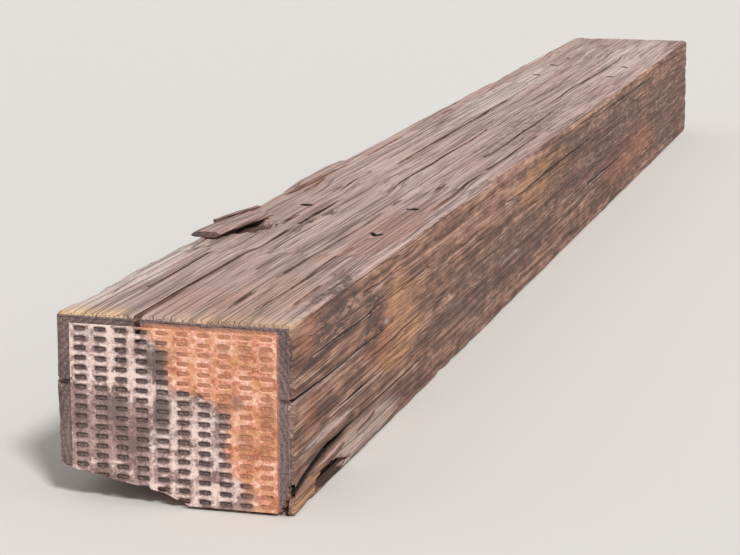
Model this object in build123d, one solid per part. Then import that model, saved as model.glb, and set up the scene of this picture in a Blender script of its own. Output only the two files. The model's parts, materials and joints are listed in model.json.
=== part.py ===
from build123d import *
from typing import NamedTuple
import os

# A used railway sleeper of sawn hardwood with a toothed anti-split plate
# pressed on each end. Millimetres. The origin is the middle of the underside,
# X runs across the sleeper, Y along it and Z up. The worn end lies at -Y.

# Timber stock, 7 by 9 inches and 8 feet 6 inches long
LENGTH = 2590.0
WIDTH = 229.0
HEIGHT = 178.0

# Wear of the four long edges, seen from the worn end, and of the end edges
TOP_LEFT_ROUND = 9.0
TOP_RIGHT_ROUND = 10.0
LOWER_LEFT_ROUND = 12.0
LOWER_RIGHT_ROUND = 6.0
END_WEAR = 3.5

# Rail seats, worn into the top by the base plates of the rails
TRACK_GAUGE = 1435.0
RAIL_HEAD = 70.0
SEAT_LENGTH = 356.0
SEAT_WIDTH = 197.0
SEAT_DEPTH = 3.0

# Spike holes, four at each seat
SPIKE_HOLE = 16.0
SPIKE_DEPTH = 115.0
SPIKE_SPACING_ACROSS = 127.0
SPIKE_SPACING_ALONG = 156.0

# Drying check that opens the top from the worn end
TOP_CHECK_PLACE = -34.0
TOP_CHECK_MOUTH = 6.0
TOP_CHECK_DEPTH = 34.0
TOP_CHECK_LENGTH = 640.0

# Drying check that opens the right side from the worn end
SIDE_CHECK_HEIGHT = 105.0
SIDE_CHECK_MOUTH = 4.0
SIDE_CHECK_DEPTH = 26.0
SIDE_CHECK_LENGTH = 330.0
SIDE_CHECK_FALL = 6.0

# Hollow torn in the top beside the left edge, deepest beside its inner wall
TEAR_START = 375.0
TEAR_LENGTH = 160.0
TEAR_WIDEST = 75.0
TEAR_INSET = 11.0
TEAR_WIDTH = 51.0
TEAR_DEPTH = 12.0
TEAR_WALL = 7.0
TEAR_RIM_DEPTH = 5.0

# Underside worn hollow at the left of the worn end
HOLLOW_WIDTH = 137.0
HOLLOW_STEP_WIDTH = 105.0
HOLLOW_STEP_RISE = 14.0
HOLLOW_RISE = 35.0
HOLLOW_LENGTH = 700.0

# Long split low on the right side, with the piece that broke out of it
SPLIT_MOUTH = 5.0
SPLIT_FALL = 16.0
SPLIT_END_HEIGHT = 22.0
SPLIT_END_DEPTH = 13.0
SPLIT_HEIGHT = 38.0
SPLIT_DEPTH = 34.0
SPLIT_WIDEST = 105.0
SPLIT_LENGTH = 420.0
BREAK_START = 92.0
BREAK_LENGTH = 72.0
BREAK_HEIGHT = 17.0
BREAK_DEPTH = 26.0
BREAK_LIP = 7.0
BREAK_FLOOR = 3.0


class Check(NamedTuple):
    """Drying check along the grain of one face, closed at both ends."""

    place: float
    start: float
    length: float
    mouth: float
    depth: float


# Drying checks of the four long faces. The place is X on the top and the
# underside and Z on the sides, the start counts from the worn end.
TOP_CHECKS = (
    Check(place=-34.0, start=1150.0, length=600.0, mouth=3.0, depth=12.0),
    Check(place=8.0, start=700.0, length=600.0, mouth=3.0, depth=10.0),
    Check(place=36.0, start=1600.0, length=700.0, mouth=4.0, depth=18.0),
    Check(place=62.0, start=60.0, length=360.0, mouth=2.5, depth=8.0),
    Check(place=62.0, start=1000.0, length=500.0, mouth=2.5, depth=10.0),
    Check(place=88.0, start=900.0, length=350.0, mouth=2.5, depth=8.0),
)
RIGHT_CHECKS = (
    Check(place=64.0, start=100.0, length=240.0, mouth=2.5, depth=9.0),
    Check(place=64.0, start=1300.0, length=600.0, mouth=3.0, depth=10.0),
    Check(place=134.0, start=900.0, length=600.0, mouth=3.0, depth=12.0),
    Check(place=156.0, start=1700.0, length=500.0, mouth=2.5, depth=9.0),
)
LEFT_CHECKS = (
    Check(place=34.0, start=600.0, length=600.0, mouth=3.0, depth=10.0),
    Check(place=62.0, start=1400.0, length=700.0, mouth=3.0, depth=12.0),
    Check(place=96.0, start=-200.0, length=650.0, mouth=4.0, depth=22.0),
    Check(place=96.0, start=1900.0, length=500.0, mouth=3.0, depth=10.0),
    Check(place=126.0, start=500.0, length=600.0, mouth=2.5, depth=9.0),
)
UNDER_CHECKS = (
    Check(place=-72.0, start=800.0, length=800.0, mouth=4.0, depth=14.0),
    Check(place=-20.0, start=1500.0, length=800.0, mouth=4.0, depth=16.0),
    Check(place=30.0, start=300.0, length=700.0, mouth=3.0, depth=10.0),
    Check(place=78.0, start=1000.0, length=500.0, mouth=3.0, depth=10.0),
)

# Toothed end plate, of galvanised sheet
PLATE_THICKNESS = 1.2
PLATE_FOOT = 3.4
SLOT_COLUMNS = 10
SLOT_ROWS = 18
SLOT_PITCH_ACROSS = 19.7
SLOT_PITCH_UP = 9.1
SLOT_LENGTH = 13.0
SLOT_HEIGHT = 3.8
TOOTH_LENGTH = 8.0

# How far a cutting shape reaches past the face that it opens
OVERCUT = 5.0

LEFT = -WIDTH / 2
RIGHT = WIDTH / 2
NEAR_END = -LENGTH / 2
SEAT_CENTRE = (TRACK_GAUGE + RAIL_HEAD) / 2
SEAT_FLOOR = HEIGHT - SEAT_DEPTH


def outline(corners, y):
    """Flat face across the timber at y, through (x, z) corners."""
    return Plane.XZ.offset(-y) * make_face(Polyline(*corners, close=True))


def tapered(near, y_near, far, y_far):
    """Straight-sided solid between two outlines across the timber."""
    return loft([outline(near, y_near), outline(far, y_far)], ruled=True)


def timber_stock():
    """Sawn baulk with its long edges worn round and its ends eased."""
    section = Rectangle(WIDTH, HEIGHT)
    lower, upper = section.vertices().group_by(Axis.Y)
    lower_left, lower_right = lower.sort_by(Axis.X)
    upper_left, upper_right = upper.sort_by(Axis.X)
    section = fillet(lower_left, LOWER_LEFT_ROUND)
    section = fillet(section.vertices().sort_by_distance(lower_right.center())[0], LOWER_RIGHT_ROUND)
    section = fillet(section.vertices().sort_by_distance(upper_left.center())[0], TOP_LEFT_ROUND)
    section = fillet(section.vertices().sort_by_distance(upper_right.center())[0], TOP_RIGHT_ROUND)
    baulk = extrude(Plane.XZ * Pos(0, HEIGHT / 2) * section, amount=LENGTH / 2, both=True)
    ends = baulk.faces().filter_by(Axis.Y)
    return chamfer(ends.edges(), END_WEAR)


def rail_seats():
    """Shallow recesses that the base plates wore into the top."""
    recess = Box(
        SEAT_WIDTH,
        SEAT_LENGTH,
        SEAT_DEPTH + OVERCUT,
        align=(Align.CENTER, Align.CENTER, Align.MIN),
    )
    return [Pos(0, side * SEAT_CENTRE, SEAT_FLOOR) * recess for side in (-1, 1)]


def spike_holes():
    """Holes that the drawn spikes left, four through each seat floor."""
    hole = Cylinder(
        SPIKE_HOLE / 2,
        SPIKE_DEPTH + SEAT_DEPTH,
        align=(Align.CENTER, Align.CENTER, Align.MIN),
    )
    grid = GridLocations(SPIKE_SPACING_ACROSS, SPIKE_SPACING_ALONG, 2, 2)
    holes = []
    for side in (-1, 1):
        seat = Pos(0, side * SEAT_CENTRE, SEAT_FLOOR - SPIKE_DEPTH)
        holes += [seat * place * hole for place in grid]
    return holes


def top_check():
    """Vee-shaped check in the top, widest and deepest at the worn end."""
    mouth = [
        (TOP_CHECK_PLACE - TOP_CHECK_MOUTH / 2, HEIGHT),
        (TOP_CHECK_PLACE + TOP_CHECK_MOUTH / 2, HEIGHT),
        (TOP_CHECK_PLACE, HEIGHT - TOP_CHECK_DEPTH),
    ]
    tip = Vertex(TOP_CHECK_PLACE, NEAR_END + TOP_CHECK_LENGTH, HEIGHT)
    return loft([outline(mouth, NEAR_END), tip], ruled=True)


def side_check():
    """Vee-shaped check in the right side, falling a little along the grain."""
    mouth = [
        (RIGHT, SIDE_CHECK_HEIGHT - SIDE_CHECK_MOUTH / 2),
        (RIGHT, SIDE_CHECK_HEIGHT + SIDE_CHECK_MOUTH / 2),
        (RIGHT - SIDE_CHECK_DEPTH, SIDE_CHECK_HEIGHT),
    ]
    tip = Vertex(RIGHT, NEAR_END + SIDE_CHECK_LENGTH, SIDE_CHECK_HEIGHT - SIDE_CHECK_FALL)
    return loft([outline(mouth, NEAR_END), tip], ruled=True)


def drying_check(check, on_face):
    """Vee-shaped check in a face, where on_face gives (x, z) for a place and a depth."""
    half = check.mouth / 2
    corners = [
        on_face(check.place - half, 0),
        on_face(check.place + half, 0),
        on_face(check.place, check.depth),
    ]
    x, z = on_face(check.place, 0)
    start = NEAR_END + check.start
    sections = [
        Vertex(x, start, z),
        outline(corners, start + check.length / 3),
        outline(corners, start + check.length * 2 / 3),
        Vertex(x, start + check.length, z),
    ]
    return loft(sections, ruled=True)


def drying_checks():
    """The drying checks of the four long faces."""
    top = [drying_check(one, lambda place, depth: (place, HEIGHT - depth)) for one in TOP_CHECKS]
    right = [drying_check(one, lambda place, depth: (RIGHT - depth, place)) for one in RIGHT_CHECKS]
    left = [drying_check(one, lambda place, depth: (LEFT + depth, place)) for one in LEFT_CHECKS]
    under = [drying_check(one, lambda place, depth: (place, depth)) for one in UNDER_CHECKS]
    return top + right + left + under


def torn_hollow():
    """Hollow that a torn splinter left in the top, pointed at both ends."""
    rim = LEFT + TEAR_INSET
    wall = rim + TEAR_WIDTH
    profile = [
        (rim, HEIGHT + OVERCUT),
        (wall, HEIGHT + OVERCUT),
        (wall, HEIGHT),
        (wall - TEAR_WALL, HEIGHT - TEAR_DEPTH),
        (rim, HEIGHT - TEAR_RIM_DEPTH),
    ]
    start = NEAR_END + TEAR_START
    near_tip = Vertex(rim, start, HEIGHT + OVERCUT)
    far_tip = Vertex(rim, start + TEAR_LENGTH, HEIGHT + OVERCUT)
    widest = outline(profile, start + TEAR_WIDEST)
    return [loft([near_tip, widest], ruled=True), loft([widest, far_tip], ruled=True)]


def worn_hollow():
    """Underside lifted clear of the ground at the left of the worn end."""
    profile = [
        (LEFT - OVERCUT, -OVERCUT),
        (LEFT + HOLLOW_WIDTH, -OVERCUT),
        (LEFT + HOLLOW_WIDTH, 0),
        (LEFT + HOLLOW_STEP_WIDTH, HOLLOW_STEP_RISE),
        (LEFT - OVERCUT, HOLLOW_RISE),
    ]
    tip = Vertex(LEFT - OVERCUT, NEAR_END + HOLLOW_LENGTH, -OVERCUT)
    return loft([outline(profile, NEAR_END - OVERCUT), tip], ruled=True)


def split_mouth(height, depth, y):
    """Section of the low split at y, with its inner edge lower than its mouth."""
    corners = [
        (RIGHT, height - SPLIT_MOUTH / 2),
        (RIGHT, height + SPLIT_MOUTH / 2),
        (RIGHT - depth, height - SPLIT_FALL),
    ]
    return outline(corners, y)


def low_split():
    """Split that opens the end above the lower right corner and climbs along the grain."""
    end = split_mouth(SPLIT_END_HEIGHT, SPLIT_END_DEPTH, NEAR_END)
    widest = split_mouth(SPLIT_HEIGHT, SPLIT_DEPTH, NEAR_END + SPLIT_WIDEST)
    tip = Vertex(RIGHT, NEAR_END + SPLIT_LENGTH, SPLIT_HEIGHT)
    return [loft([end, widest], ruled=True), loft([widest, tip], ruled=True)]


def broken_piece():
    """Hollow where a sliver under the split broke out."""
    corners = [
        (RIGHT + OVERCUT, BREAK_FLOOR),
        (RIGHT + OVERCUT, BREAK_HEIGHT),
        (RIGHT - BREAK_DEPTH, BREAK_HEIGHT),
        (RIGHT - BREAK_DEPTH + BREAK_LIP, BREAK_FLOOR),
    ]
    rising = [
        (RIGHT + OVERCUT, BREAK_FLOOR),
        (RIGHT + OVERCUT, BREAK_HEIGHT - BREAK_LIP),
        (RIGHT - BREAK_DEPTH + BREAK_LIP, BREAK_HEIGHT - BREAK_LIP),
        (RIGHT - BREAK_LIP, BREAK_FLOOR),
    ]
    start = NEAR_END + BREAK_START
    return tapered(corners, start, rising, start + BREAK_LENGTH)


def timber():
    """The whole timber: one baulk less its seats, holes, checks and losses."""
    cuts = rail_seats() + spike_holes() + torn_hollow() + low_split() + drying_checks()
    cuts += [top_check(), side_check(), worn_hollow(), broken_piece()]
    body = timber_stock()
    for cut in cuts:
        body -= cut
    return body


def plate_teeth():
    """Pointed teeth bent back from both ends of every slot."""
    root = SLOT_HEIGHT / 2
    point = [(0, -root), (TOOTH_LENGTH, 0), (0, root)]
    tooth = extrude(Plane.YZ * make_face(Polyline(*point, close=True)), amount=PLATE_THICKNESS)
    left_tooth = Pos(-SLOT_LENGTH / 2, 0, 0) * tooth
    right_tooth = Pos(SLOT_LENGTH / 2 - PLATE_THICKNESS, 0, 0) * tooth
    teeth = []
    for column in range(SLOT_COLUMNS):
        for row in range(SLOT_ROWS):
            place = Pos(
                (column - (SLOT_COLUMNS - 1) / 2) * SLOT_PITCH_ACROSS,
                0,
                (row + 0.5) * SLOT_PITCH_UP,
            )
            teeth += [place * left_tooth, place * right_tooth]
    return teeth


def end_plate():
    """Punched plate with its teeth towards +Y, its back at y = 0 and its foot at z = 0."""
    height = SLOT_ROWS * SLOT_PITCH_UP
    sheet = Rectangle(SLOT_COLUMNS * SLOT_PITCH_ACROSS, height)
    slots = GridLocations(SLOT_PITCH_ACROSS, SLOT_PITCH_UP, SLOT_COLUMNS, SLOT_ROWS)
    sheet -= slots * Rectangle(SLOT_LENGTH - 2 * PLATE_THICKNESS, SLOT_HEIGHT)
    plate = extrude(Plane.XZ * Pos(0, height / 2) * sheet, amount=PLATE_THICKNESS)
    return plate + plate_teeth()


def main():
    """Build every piece in its place and write one file for each."""
    plate = Pos(0, NEAR_END, PLATE_FOOT) * end_plate()
    pieces = {
        "timber": timber(),
        "end_plate_near": plate - worn_hollow(),
        "end_plate_far": Rot(0, 0, 180) * plate,
    }
    os.makedirs("parts", exist_ok=True)
    for name, piece in pieces.items():
        export_step(piece, f"parts/{name}.step")


main()
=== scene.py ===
"""Looks of a used railway sleeper with a toothed anti-split plate on each end.

The sleeper lies along Y with its worn end at -Y, X across it and Z up. Lengths
along the timber are given as a distance from the worn end, in metres.
"""

import json
import logging
import math
from contextlib import contextmanager
from dataclasses import dataclass, field
from enum import Enum
from typing import Iterator, Sequence, Union

import bmesh
import bpy
import numpy as np
from mathutils import Euler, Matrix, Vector

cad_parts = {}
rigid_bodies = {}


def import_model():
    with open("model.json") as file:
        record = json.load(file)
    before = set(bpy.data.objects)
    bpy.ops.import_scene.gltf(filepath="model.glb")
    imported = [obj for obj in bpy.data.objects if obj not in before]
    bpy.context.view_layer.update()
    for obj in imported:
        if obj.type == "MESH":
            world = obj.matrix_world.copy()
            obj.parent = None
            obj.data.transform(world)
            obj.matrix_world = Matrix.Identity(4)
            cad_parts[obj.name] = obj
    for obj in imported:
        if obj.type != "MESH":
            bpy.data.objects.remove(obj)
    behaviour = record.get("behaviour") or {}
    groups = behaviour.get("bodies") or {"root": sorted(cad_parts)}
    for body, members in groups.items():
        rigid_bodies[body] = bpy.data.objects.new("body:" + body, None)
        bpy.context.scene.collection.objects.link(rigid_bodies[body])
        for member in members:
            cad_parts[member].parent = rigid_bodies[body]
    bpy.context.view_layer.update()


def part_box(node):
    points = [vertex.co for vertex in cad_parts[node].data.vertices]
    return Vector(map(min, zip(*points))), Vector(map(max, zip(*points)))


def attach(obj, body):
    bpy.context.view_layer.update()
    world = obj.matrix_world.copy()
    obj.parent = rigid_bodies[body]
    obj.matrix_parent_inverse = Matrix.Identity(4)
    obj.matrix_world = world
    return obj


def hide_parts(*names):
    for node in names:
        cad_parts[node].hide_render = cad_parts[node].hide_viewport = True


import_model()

LOG = logging.getLogger("sleeper")

Array = np.ndarray
Triple = tuple[float, float, float]
Colour = Triple
Number = Union[int, float]


class Face(Enum):
    """A long side of the timber, as the axis it looks along and the sign of its look."""

    TOP = (2, 1)
    UNDERSIDE = (2, -1)
    LEFT = (0, -1)
    RIGHT = (0, 1)

    @property
    def across(self) -> int:
        """The axis that runs across the face."""
        return 2 - self.value[0]


class Pick(Enum):
    """What is selected in edit mode."""

    POINTS = "VERT"
    EDGES = "EDGE"
    FACES = "FACE"


class LatticeNoise:
    """Smooth repeatable noise on points, from a seeded lattice."""

    SIDE = 64

    def __init__(self, seed: int) -> None:
        """Fill the lattice.

        Args:
            seed: number that the lattice values are drawn from.
        """
        draw = np.random.default_rng(seed)
        self.values = draw.uniform(-1.0, 1.0, (self.SIDE,) * 3)

    def at(self, x: Array, y: Array, z: Array) -> Array:
        """Noise at points given in lattice steps.

        Args:
            x: first coordinate of the points.
            y: second coordinate of the points.
            z: third coordinate of the points.

        Returns:
            Values between -1 and 1.
        """
        x, y, z = np.broadcast_arrays(x, y, z)
        corners = []
        weights = []
        for axis in (x, y, z):
            low = np.floor(axis)
            part = axis - low
            corners.append(low.astype(int))
            weights.append(part * part * (3.0 - 2.0 * part))
        total = np.zeros_like(weights[0])
        for step in np.ndindex(2, 2, 2):
            share = np.ones_like(total)
            index = []
            for corner, weight, one in zip(corners, weights, step):
                share = share * (weight if one else 1.0 - weight)
                index.append((corner + one) % self.SIDE)
            total += share * self.values[tuple(index)]
        return total

    def fractal(self, x: Array, y: Array, z: Array, octaves: int = 3) -> Array:
        """Noise added up over finer and finer steps.

        Args:
            x: first coordinate of the points, in lattice steps.
            y: second coordinate of the points.
            z: third coordinate of the points.
            octaves: how many steps are added.

        Returns:
            Values mostly between -1 and 1.
        """
        total = 0.0
        weight = 0.6
        for octave in range(octaves):
            scale = 2.0**octave
            total = total + weight * self.at(x * scale + 7.3 * octave, y * scale, z * scale)
            weight *= 0.5
        return total


def smooth_step(value: Array, low: Number, high: Number) -> Array:
    """Smooth rise from 0 at low to 1 at high."""
    part = np.clip((value - low) / (high - low), 0.0, 1.0)
    return part * part * (3.0 - 2.0 * part)


def window(value: Array, low: Number, high: Number, soft: Number) -> Array:
    """One between low and high, falling to zero over soft outside them."""
    return smooth_step(value, low - soft, low) * (1.0 - smooth_step(value, high, high + soft))


class Signal:
    """A shader socket that Python arithmetic adds Math nodes to."""

    def __init__(self, wiring: "Wiring", socket: bpy.types.NodeSocket) -> None:
        """Wrap a socket.

        Args:
            wiring: the node tree's wiring.
            socket: output socket that carries the value.
        """
        self.wiring = wiring
        self.socket = socket

    def _math(self, operation: str, first: "Term", second: "Term") -> "Signal":
        """Math node on two terms."""
        return self.wiring.add("ShaderNodeMath", {"operation": operation}, {0: first, 1: second})

    def __add__(self, other: "Term") -> "Signal":
        """Sum of this and other."""
        return self._math("ADD", self, other)

    __radd__ = __add__

    def __sub__(self, other: "Term") -> "Signal":
        """This less other."""
        return self._math("SUBTRACT", self, other)

    def __rsub__(self, other: "Term") -> "Signal":
        """Other less this."""
        return self._math("SUBTRACT", other, self)

    def __mul__(self, other: "Term") -> "Signal":
        """Product of this and other."""
        return self._math("MULTIPLY", self, other)

    __rmul__ = __mul__

    def __pow__(self, other: "Term") -> "Signal":
        """This to the power other."""
        return self._math("POWER", self, other)

    def __abs__(self) -> "Signal":
        """Size of this without its sign."""
        return self._math("ABSOLUTE", self, 0.0)

    def higher(self, other: "Term") -> "Signal":
        """The larger of this and other."""
        return self._math("MAXIMUM", self, other)

    def wave(self) -> "Signal":
        """Sine of this."""
        return self._math("SINE", self, 0.0)

    def rise(self, low: Number, high: Number) -> "Signal":
        """Smooth rise from 0 where this is low to 1 where it is high.

        Args:
            low: value that gives 0.
            high: value that gives 1.

        Returns:
            The signal between 0 and 1.
        """
        return self.wiring.add(
            "ShaderNodeMapRange",
            {"interpolation_type": "SMOOTHSTEP"},
            {"Value": self, "From Min": low, "From Max": high},
        )


Term = Union[Signal, Number]
Paint = Union[Signal, Colour]


class Wiring:
    """Adds nodes to a tree and joins them."""

    MIX_FACTOR, MIX_FIRST, MIX_SECOND, MIX_RESULT = 0, 6, 7, 2

    def __init__(self, tree: bpy.types.NodeTree) -> None:
        """Empty the tree.

        Args:
            tree: node tree to fill.
        """
        self.tree = tree
        self._place: Union[Signal, None] = None
        tree.nodes.clear()

    def node(self, kind: str, settings: dict, sockets: dict) -> bpy.types.Node:
        """Add one node, settings first and then its sockets.

        Args:
            kind: the node's type.
            settings: attributes of the node; stops holds a ramp's (place, colour) pairs.
            sockets: values or signals by socket name or number.

        Returns:
            The new node.
        """
        node = self.tree.nodes.new(kind)
        for name, value in settings.items():
            if name == "stops":
                self._stops(node, value)
            else:
                setattr(node, name, value)
        for key, value in sockets.items():
            if isinstance(value, Signal):
                self.tree.links.new(value.socket, node.inputs[key])
            else:
                node.inputs[key].default_value = value
        return node

    @staticmethod
    def _stops(node: bpy.types.Node, stops: Sequence[tuple[float, Colour]]) -> None:
        """Set a colour ramp's stops.

        Args:
            node: the ramp's node.
            stops: its (place, colour) pairs.
        """
        ramp = node.color_ramp
        while len(ramp.elements) < len(stops):
            ramp.elements.new(0.5)
        for element, (place, colour) in zip(ramp.elements, stops):
            element.position = place
            element.color = (*colour, 1.0)

    def add(self, kind: str, settings: dict, sockets: dict, output: Union[int, str] = 0) -> Signal:
        """Add one node and give one of its outputs.

        Args:
            kind: the node's type.
            settings: as in node.
            sockets: as in node.
            output: name or number of the output.

        Returns:
            The output as a signal.
        """
        return Signal(self, self.node(kind, settings, sockets).outputs[output])

    def place(self) -> Signal:
        """Object coordinates.

        Returns:
            The one signal that holds them in this tree.
        """
        if self._place is None:
            self._place = self.add("ShaderNodeTexCoord", {}, {}, "Object")
        return self._place

    def scaled(self, scale: Triple, shift: Triple = (0.0, 0.0, 0.0)) -> Signal:
        """Object coordinates stretched by scale and moved by shift."""
        return self.add(
            "ShaderNodeMapping", {}, {"Vector": self.place(), "Scale": scale, "Location": shift}
        )

    def parts(self, vector: Signal) -> tuple[Signal, Signal, Signal]:
        """A vector as its three numbers."""
        split = self.node("ShaderNodeSeparateXYZ", {}, {"Vector": vector})
        return tuple(Signal(self, output) for output in split.outputs)

    def noise(
        self,
        scale: Triple,
        shift: Triple = (0.0, 0.0, 0.0),
        detail: float = 3.0,
        rough: float = 0.55,
        distortion: float = 0.0,
    ) -> Signal:
        """Noise between 0 and 1, with steps of one over scale metres.

        Args:
            scale: steps for each metre along X, Y and Z.
            shift: moves the pattern.
            detail: how many finer steps are added.
            rough: how strong the finer steps are.
            distortion: how far the pattern is swirled.

        Returns:
            The noise.
        """
        return self.add(
            "ShaderNodeTexNoise",
            {"noise_dimensions": "3D"},
            {
                "Vector": self.scaled(scale, shift),
                "Scale": 1.0,
                "Detail": detail,
                "Roughness": rough,
                "Distortion": distortion,
            },
        )

    def attribute(self, name: str) -> Signal:
        """A number that the mesh holds under name."""
        return self.add("ShaderNodeAttribute", {"attribute_name": name}, {}, "Fac")

    def mix(self, factor: Term, first: Paint, second: Paint) -> Signal:
        """Colour between first and second.

        Args:
            factor: 0 for first to 1 for second.
            first: a colour or signal.
            second: a colour or signal.

        Returns:
            The colour.
        """
        ends = [end if isinstance(end, Signal) else (*end, 1.0) for end in (first, second)]
        return self.add(
            "ShaderNodeMix",
            {"data_type": "RGBA", "blend_type": "MIX", "clamp_factor": True},
            {self.MIX_FACTOR: factor, self.MIX_FIRST: ends[0], self.MIX_SECOND: ends[1]},
            self.MIX_RESULT,
        )

    def ramp(self, factor: Signal, stops: Sequence[tuple[float, Colour]]) -> Signal:
        """Colour from a ramp."""
        return self.add("ShaderNodeValToRGB", {"stops": stops}, {"Fac": factor})

    def bump(self, height: Signal, distance: float, strength: float = 1.0) -> Signal:
        """Normal of a surface that height raises by up to distance."""
        return self.add(
            "ShaderNodeBump", {}, {"Height": height, "Distance": distance, "Strength": strength}, "Normal"
        )

    def surface(self, sockets: dict) -> None:
        """Principled shader and material output.

        Args:
            sockets: values or signals of the shader's sockets.
        """
        shader = self.node("ShaderNodeBsdfPrincipled", {}, sockets)
        output = self.node("ShaderNodeOutputMaterial", {}, {})
        self.tree.links.new(shader.outputs[0], output.inputs["Surface"])


def srgb(red: int, green: int, blue: int) -> Colour:
    """Colour as it is seen on a screen, turned to a linear one.

    Args:
        red: 0 to 255.
        green: 0 to 255.
        blue: 0 to 255.

    Returns:
        Linear colour.
    """
    parts = []
    for value in (red, green, blue):
        share = value / 255
        parts.append(share / 12.92 if share <= 0.04045 else ((share + 0.055) / 1.055) ** 2.4)
    return tuple(parts)


def new_material(name: str) -> tuple[bpy.types.Material, Wiring]:
    """Empty node material.

    Args:
        name: name of the material.

    Returns:
        The material and its wiring.
    """
    material = bpy.data.materials.new(name)
    material.use_nodes = True
    return material, Wiring(material.node_tree)


@dataclass(frozen=True)
class Grain:
    """Patterns of the wood that its colours and its relief share."""

    fibre: Signal
    streak: Signal
    blotch: Signal
    knob: Signal
    grit: Signal
    rings: Signal
    ring_line: Signal
    hair_crack: Signal
    groove_line: Signal


@dataclass(frozen=True)
class WeatheredTimber:
    """Finish of the timber: sun-bleached top, creosoted sides, and painted shade in its checks, holes and
    breaks.
    """

    top_pale: Colour = srgb(218, 188, 178)
    top_grey: Colour = srgb(190, 160, 151)
    top_dark: Colour = srgb(146, 116, 106)
    bleached: Colour = srgb(226, 208, 200)
    side_pale: Colour = srgb(200, 160, 138)
    side_brown: Colour = srgb(154, 114, 96)
    side_dark: Colour = srgb(96, 68, 58)
    end_grain: Colour = srgb(144, 120, 115)
    end_dark: Colour = srgb(90, 75, 75)
    end_rust: Colour = srgb(206, 138, 104)
    fresh: Colour = srgb(196, 146, 104)
    honey: Colour = srgb(238, 200, 156)
    ruddy: Colour = srgb(178, 116, 92)
    torn: Colour = srgb(122, 82, 64)
    tar: Colour = srgb(74, 60, 56)
    # Painted shade: dark colour given to the checks, split, break, torn hollow, spike holes and sliver
    # undersides.
    inside: Colour = srgb(36, 25, 20)
    ring_width: float = 0.0052
    pith_left: float = 0.012
    pith_up: float = 0.055
    relief_height: float = 0.0022

    def grain(self, wires: Wiring) -> Grain:
        """Noise drawn out along the timber, and the year rings round its pith.

        Args:
            wires: the material's wiring.

        Returns:
            The patterns.
        """
        x, _, z = wires.parts(wires.place())
        strand = wires.noise((210.0, 3.4, 210.0), (0.0, 0.0, 0.0), 1.0, 0.6, 0.15)
        thread = wires.noise((600.0, 8.0, 600.0), (6.0, 1.0, 2.0), 1.0, 0.6)
        streak = wires.noise((75.0, 1.9, 75.0), (3.1, 0.0, 1.7), 2.0, 0.6, 0.2)
        blotch = wires.noise((17.0, 6.0, 17.0), (0.3, 4.0, 2.0), 4.0, 0.6, 0.4)
        drift = wires.noise((9.0, 0.9, 9.0), (5.0, 1.0, 9.0), 2.0, 0.5)
        hair = wires.noise((150.0, 2.3, 150.0), (9.0, 3.0, 4.0), 1.0, 0.6, 0.2)
        groove = wires.noise((95.0, 1.5, 95.0), (2.0, 7.0, 5.0), 1.0, 0.5, 0.2)
        across, up = x + self.pith_left, z - self.pith_up
        radius = (across * across + up * up) ** 0.5
        turns = (radius + drift * 0.030 + streak * 0.006) * (2 * math.pi / self.ring_width)
        rings = turns.wave()
        return Grain(
            fibre=strand * 0.75 + thread * 0.6 - 0.175,
            streak=streak,
            blotch=blotch,
            knob=wires.noise((95.0, 24.0, 95.0), (8.0, 3.0, 6.0), 2.0, 0.6, 0.3),
            grit=wires.noise((520.0, 90.0, 520.0), (1.0, 2.0, 3.0), 2.0, 0.6),
            rings=rings,
            ring_line=rings.rise(0.35, 0.98),
            hair_crack=(1.0 - abs(hair - 0.5).rise(0.006, 0.034)) * blotch.rise(0.36, 0.56),
            groove_line=1.0 - abs(groove - 0.52).rise(0.004, 0.03),
        )

    def top_colour(self, wires: Wiring, grain: Grain) -> Signal:
        """Bleached grey of the top.

        Args:
            wires: the material's wiring.
            grain: the wood's patterns.

        Returns:
            The colour.
        """
        tone = grain.fibre * 0.46 + grain.streak * 0.28 + grain.blotch * 0.28 + grain.knob * 0.08
        stops = ((0.0, self.top_dark), (0.4, self.top_grey), (0.95, self.top_pale))
        return wires.mix(grain.ring_line * 0.12, wires.ramp(tone.rise(0.36, 0.77), stops), self.top_dark)

    def side_colour(self, wires: Wiring, grain: Grain) -> Signal:
        """Streaky brown of the sides.

        Args:
            wires: the material's wiring.
            grain: the wood's patterns.

        Returns:
            The colour.
        """
        tone = grain.fibre * 0.40 + grain.streak * 0.30 + grain.blotch * 0.24 + grain.knob * 0.42
        stops = ((0.0, self.side_dark), (0.45, self.side_brown), (0.95, self.side_pale))
        return wires.mix(grain.ring_line * 0.2, wires.ramp(tone.rise(0.535, 0.905), stops), self.side_dark)

    def end_colour(self, wires: Wiring, grain: Grain) -> Signal:
        """Dark end grain, rusty where a rusted plate covers it.

        Args:
            wires: the material's wiring.
            grain: the wood's patterns.

        Returns:
            The colour.
        """
        tone = (grain.grit * 0.6 + grain.blotch * 0.4 + grain.rings * 0.08).rise(0.3, 0.7)
        end = wires.mix(tone, self.end_dark, self.end_grain)
        return wires.mix(wires.attribute("rust") * (grain.grit * 0.3 + 0.7), end, self.end_rust)

    def patched(self, wires: Wiring, grain: Grain, colour: Signal) -> Signal:
        """The long faces with their bared, ruddy, bleached and rubbed areas.

        Args:
            wires: the material's wiring.
            grain: the wood's patterns.
            colour: colour of the faces without them.

        Returns:
            The colour.
        """
        tone = (grain.fibre * 0.5 + grain.knob * 0.6).rise(0.42, 0.66)
        bare = wires.mix(tone, self.side_brown, self.fresh)
        rubbed = wires.mix(grain.streak.rise(0.4, 0.8), self.honey, self.fresh)
        colour = wires.mix(wires.attribute("fresh") * (grain.blotch + 0.45), colour, bare)
        colour = wires.mix(wires.attribute("ruddy") * (grain.blotch * 1.2), colour, self.ruddy)
        colour = wires.mix(wires.attribute("pale") * (grain.streak * 0.6 + 0.35), colour, self.bleached)
        return wires.mix(wires.attribute("worn") * 0.8, colour, rubbed)

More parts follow.
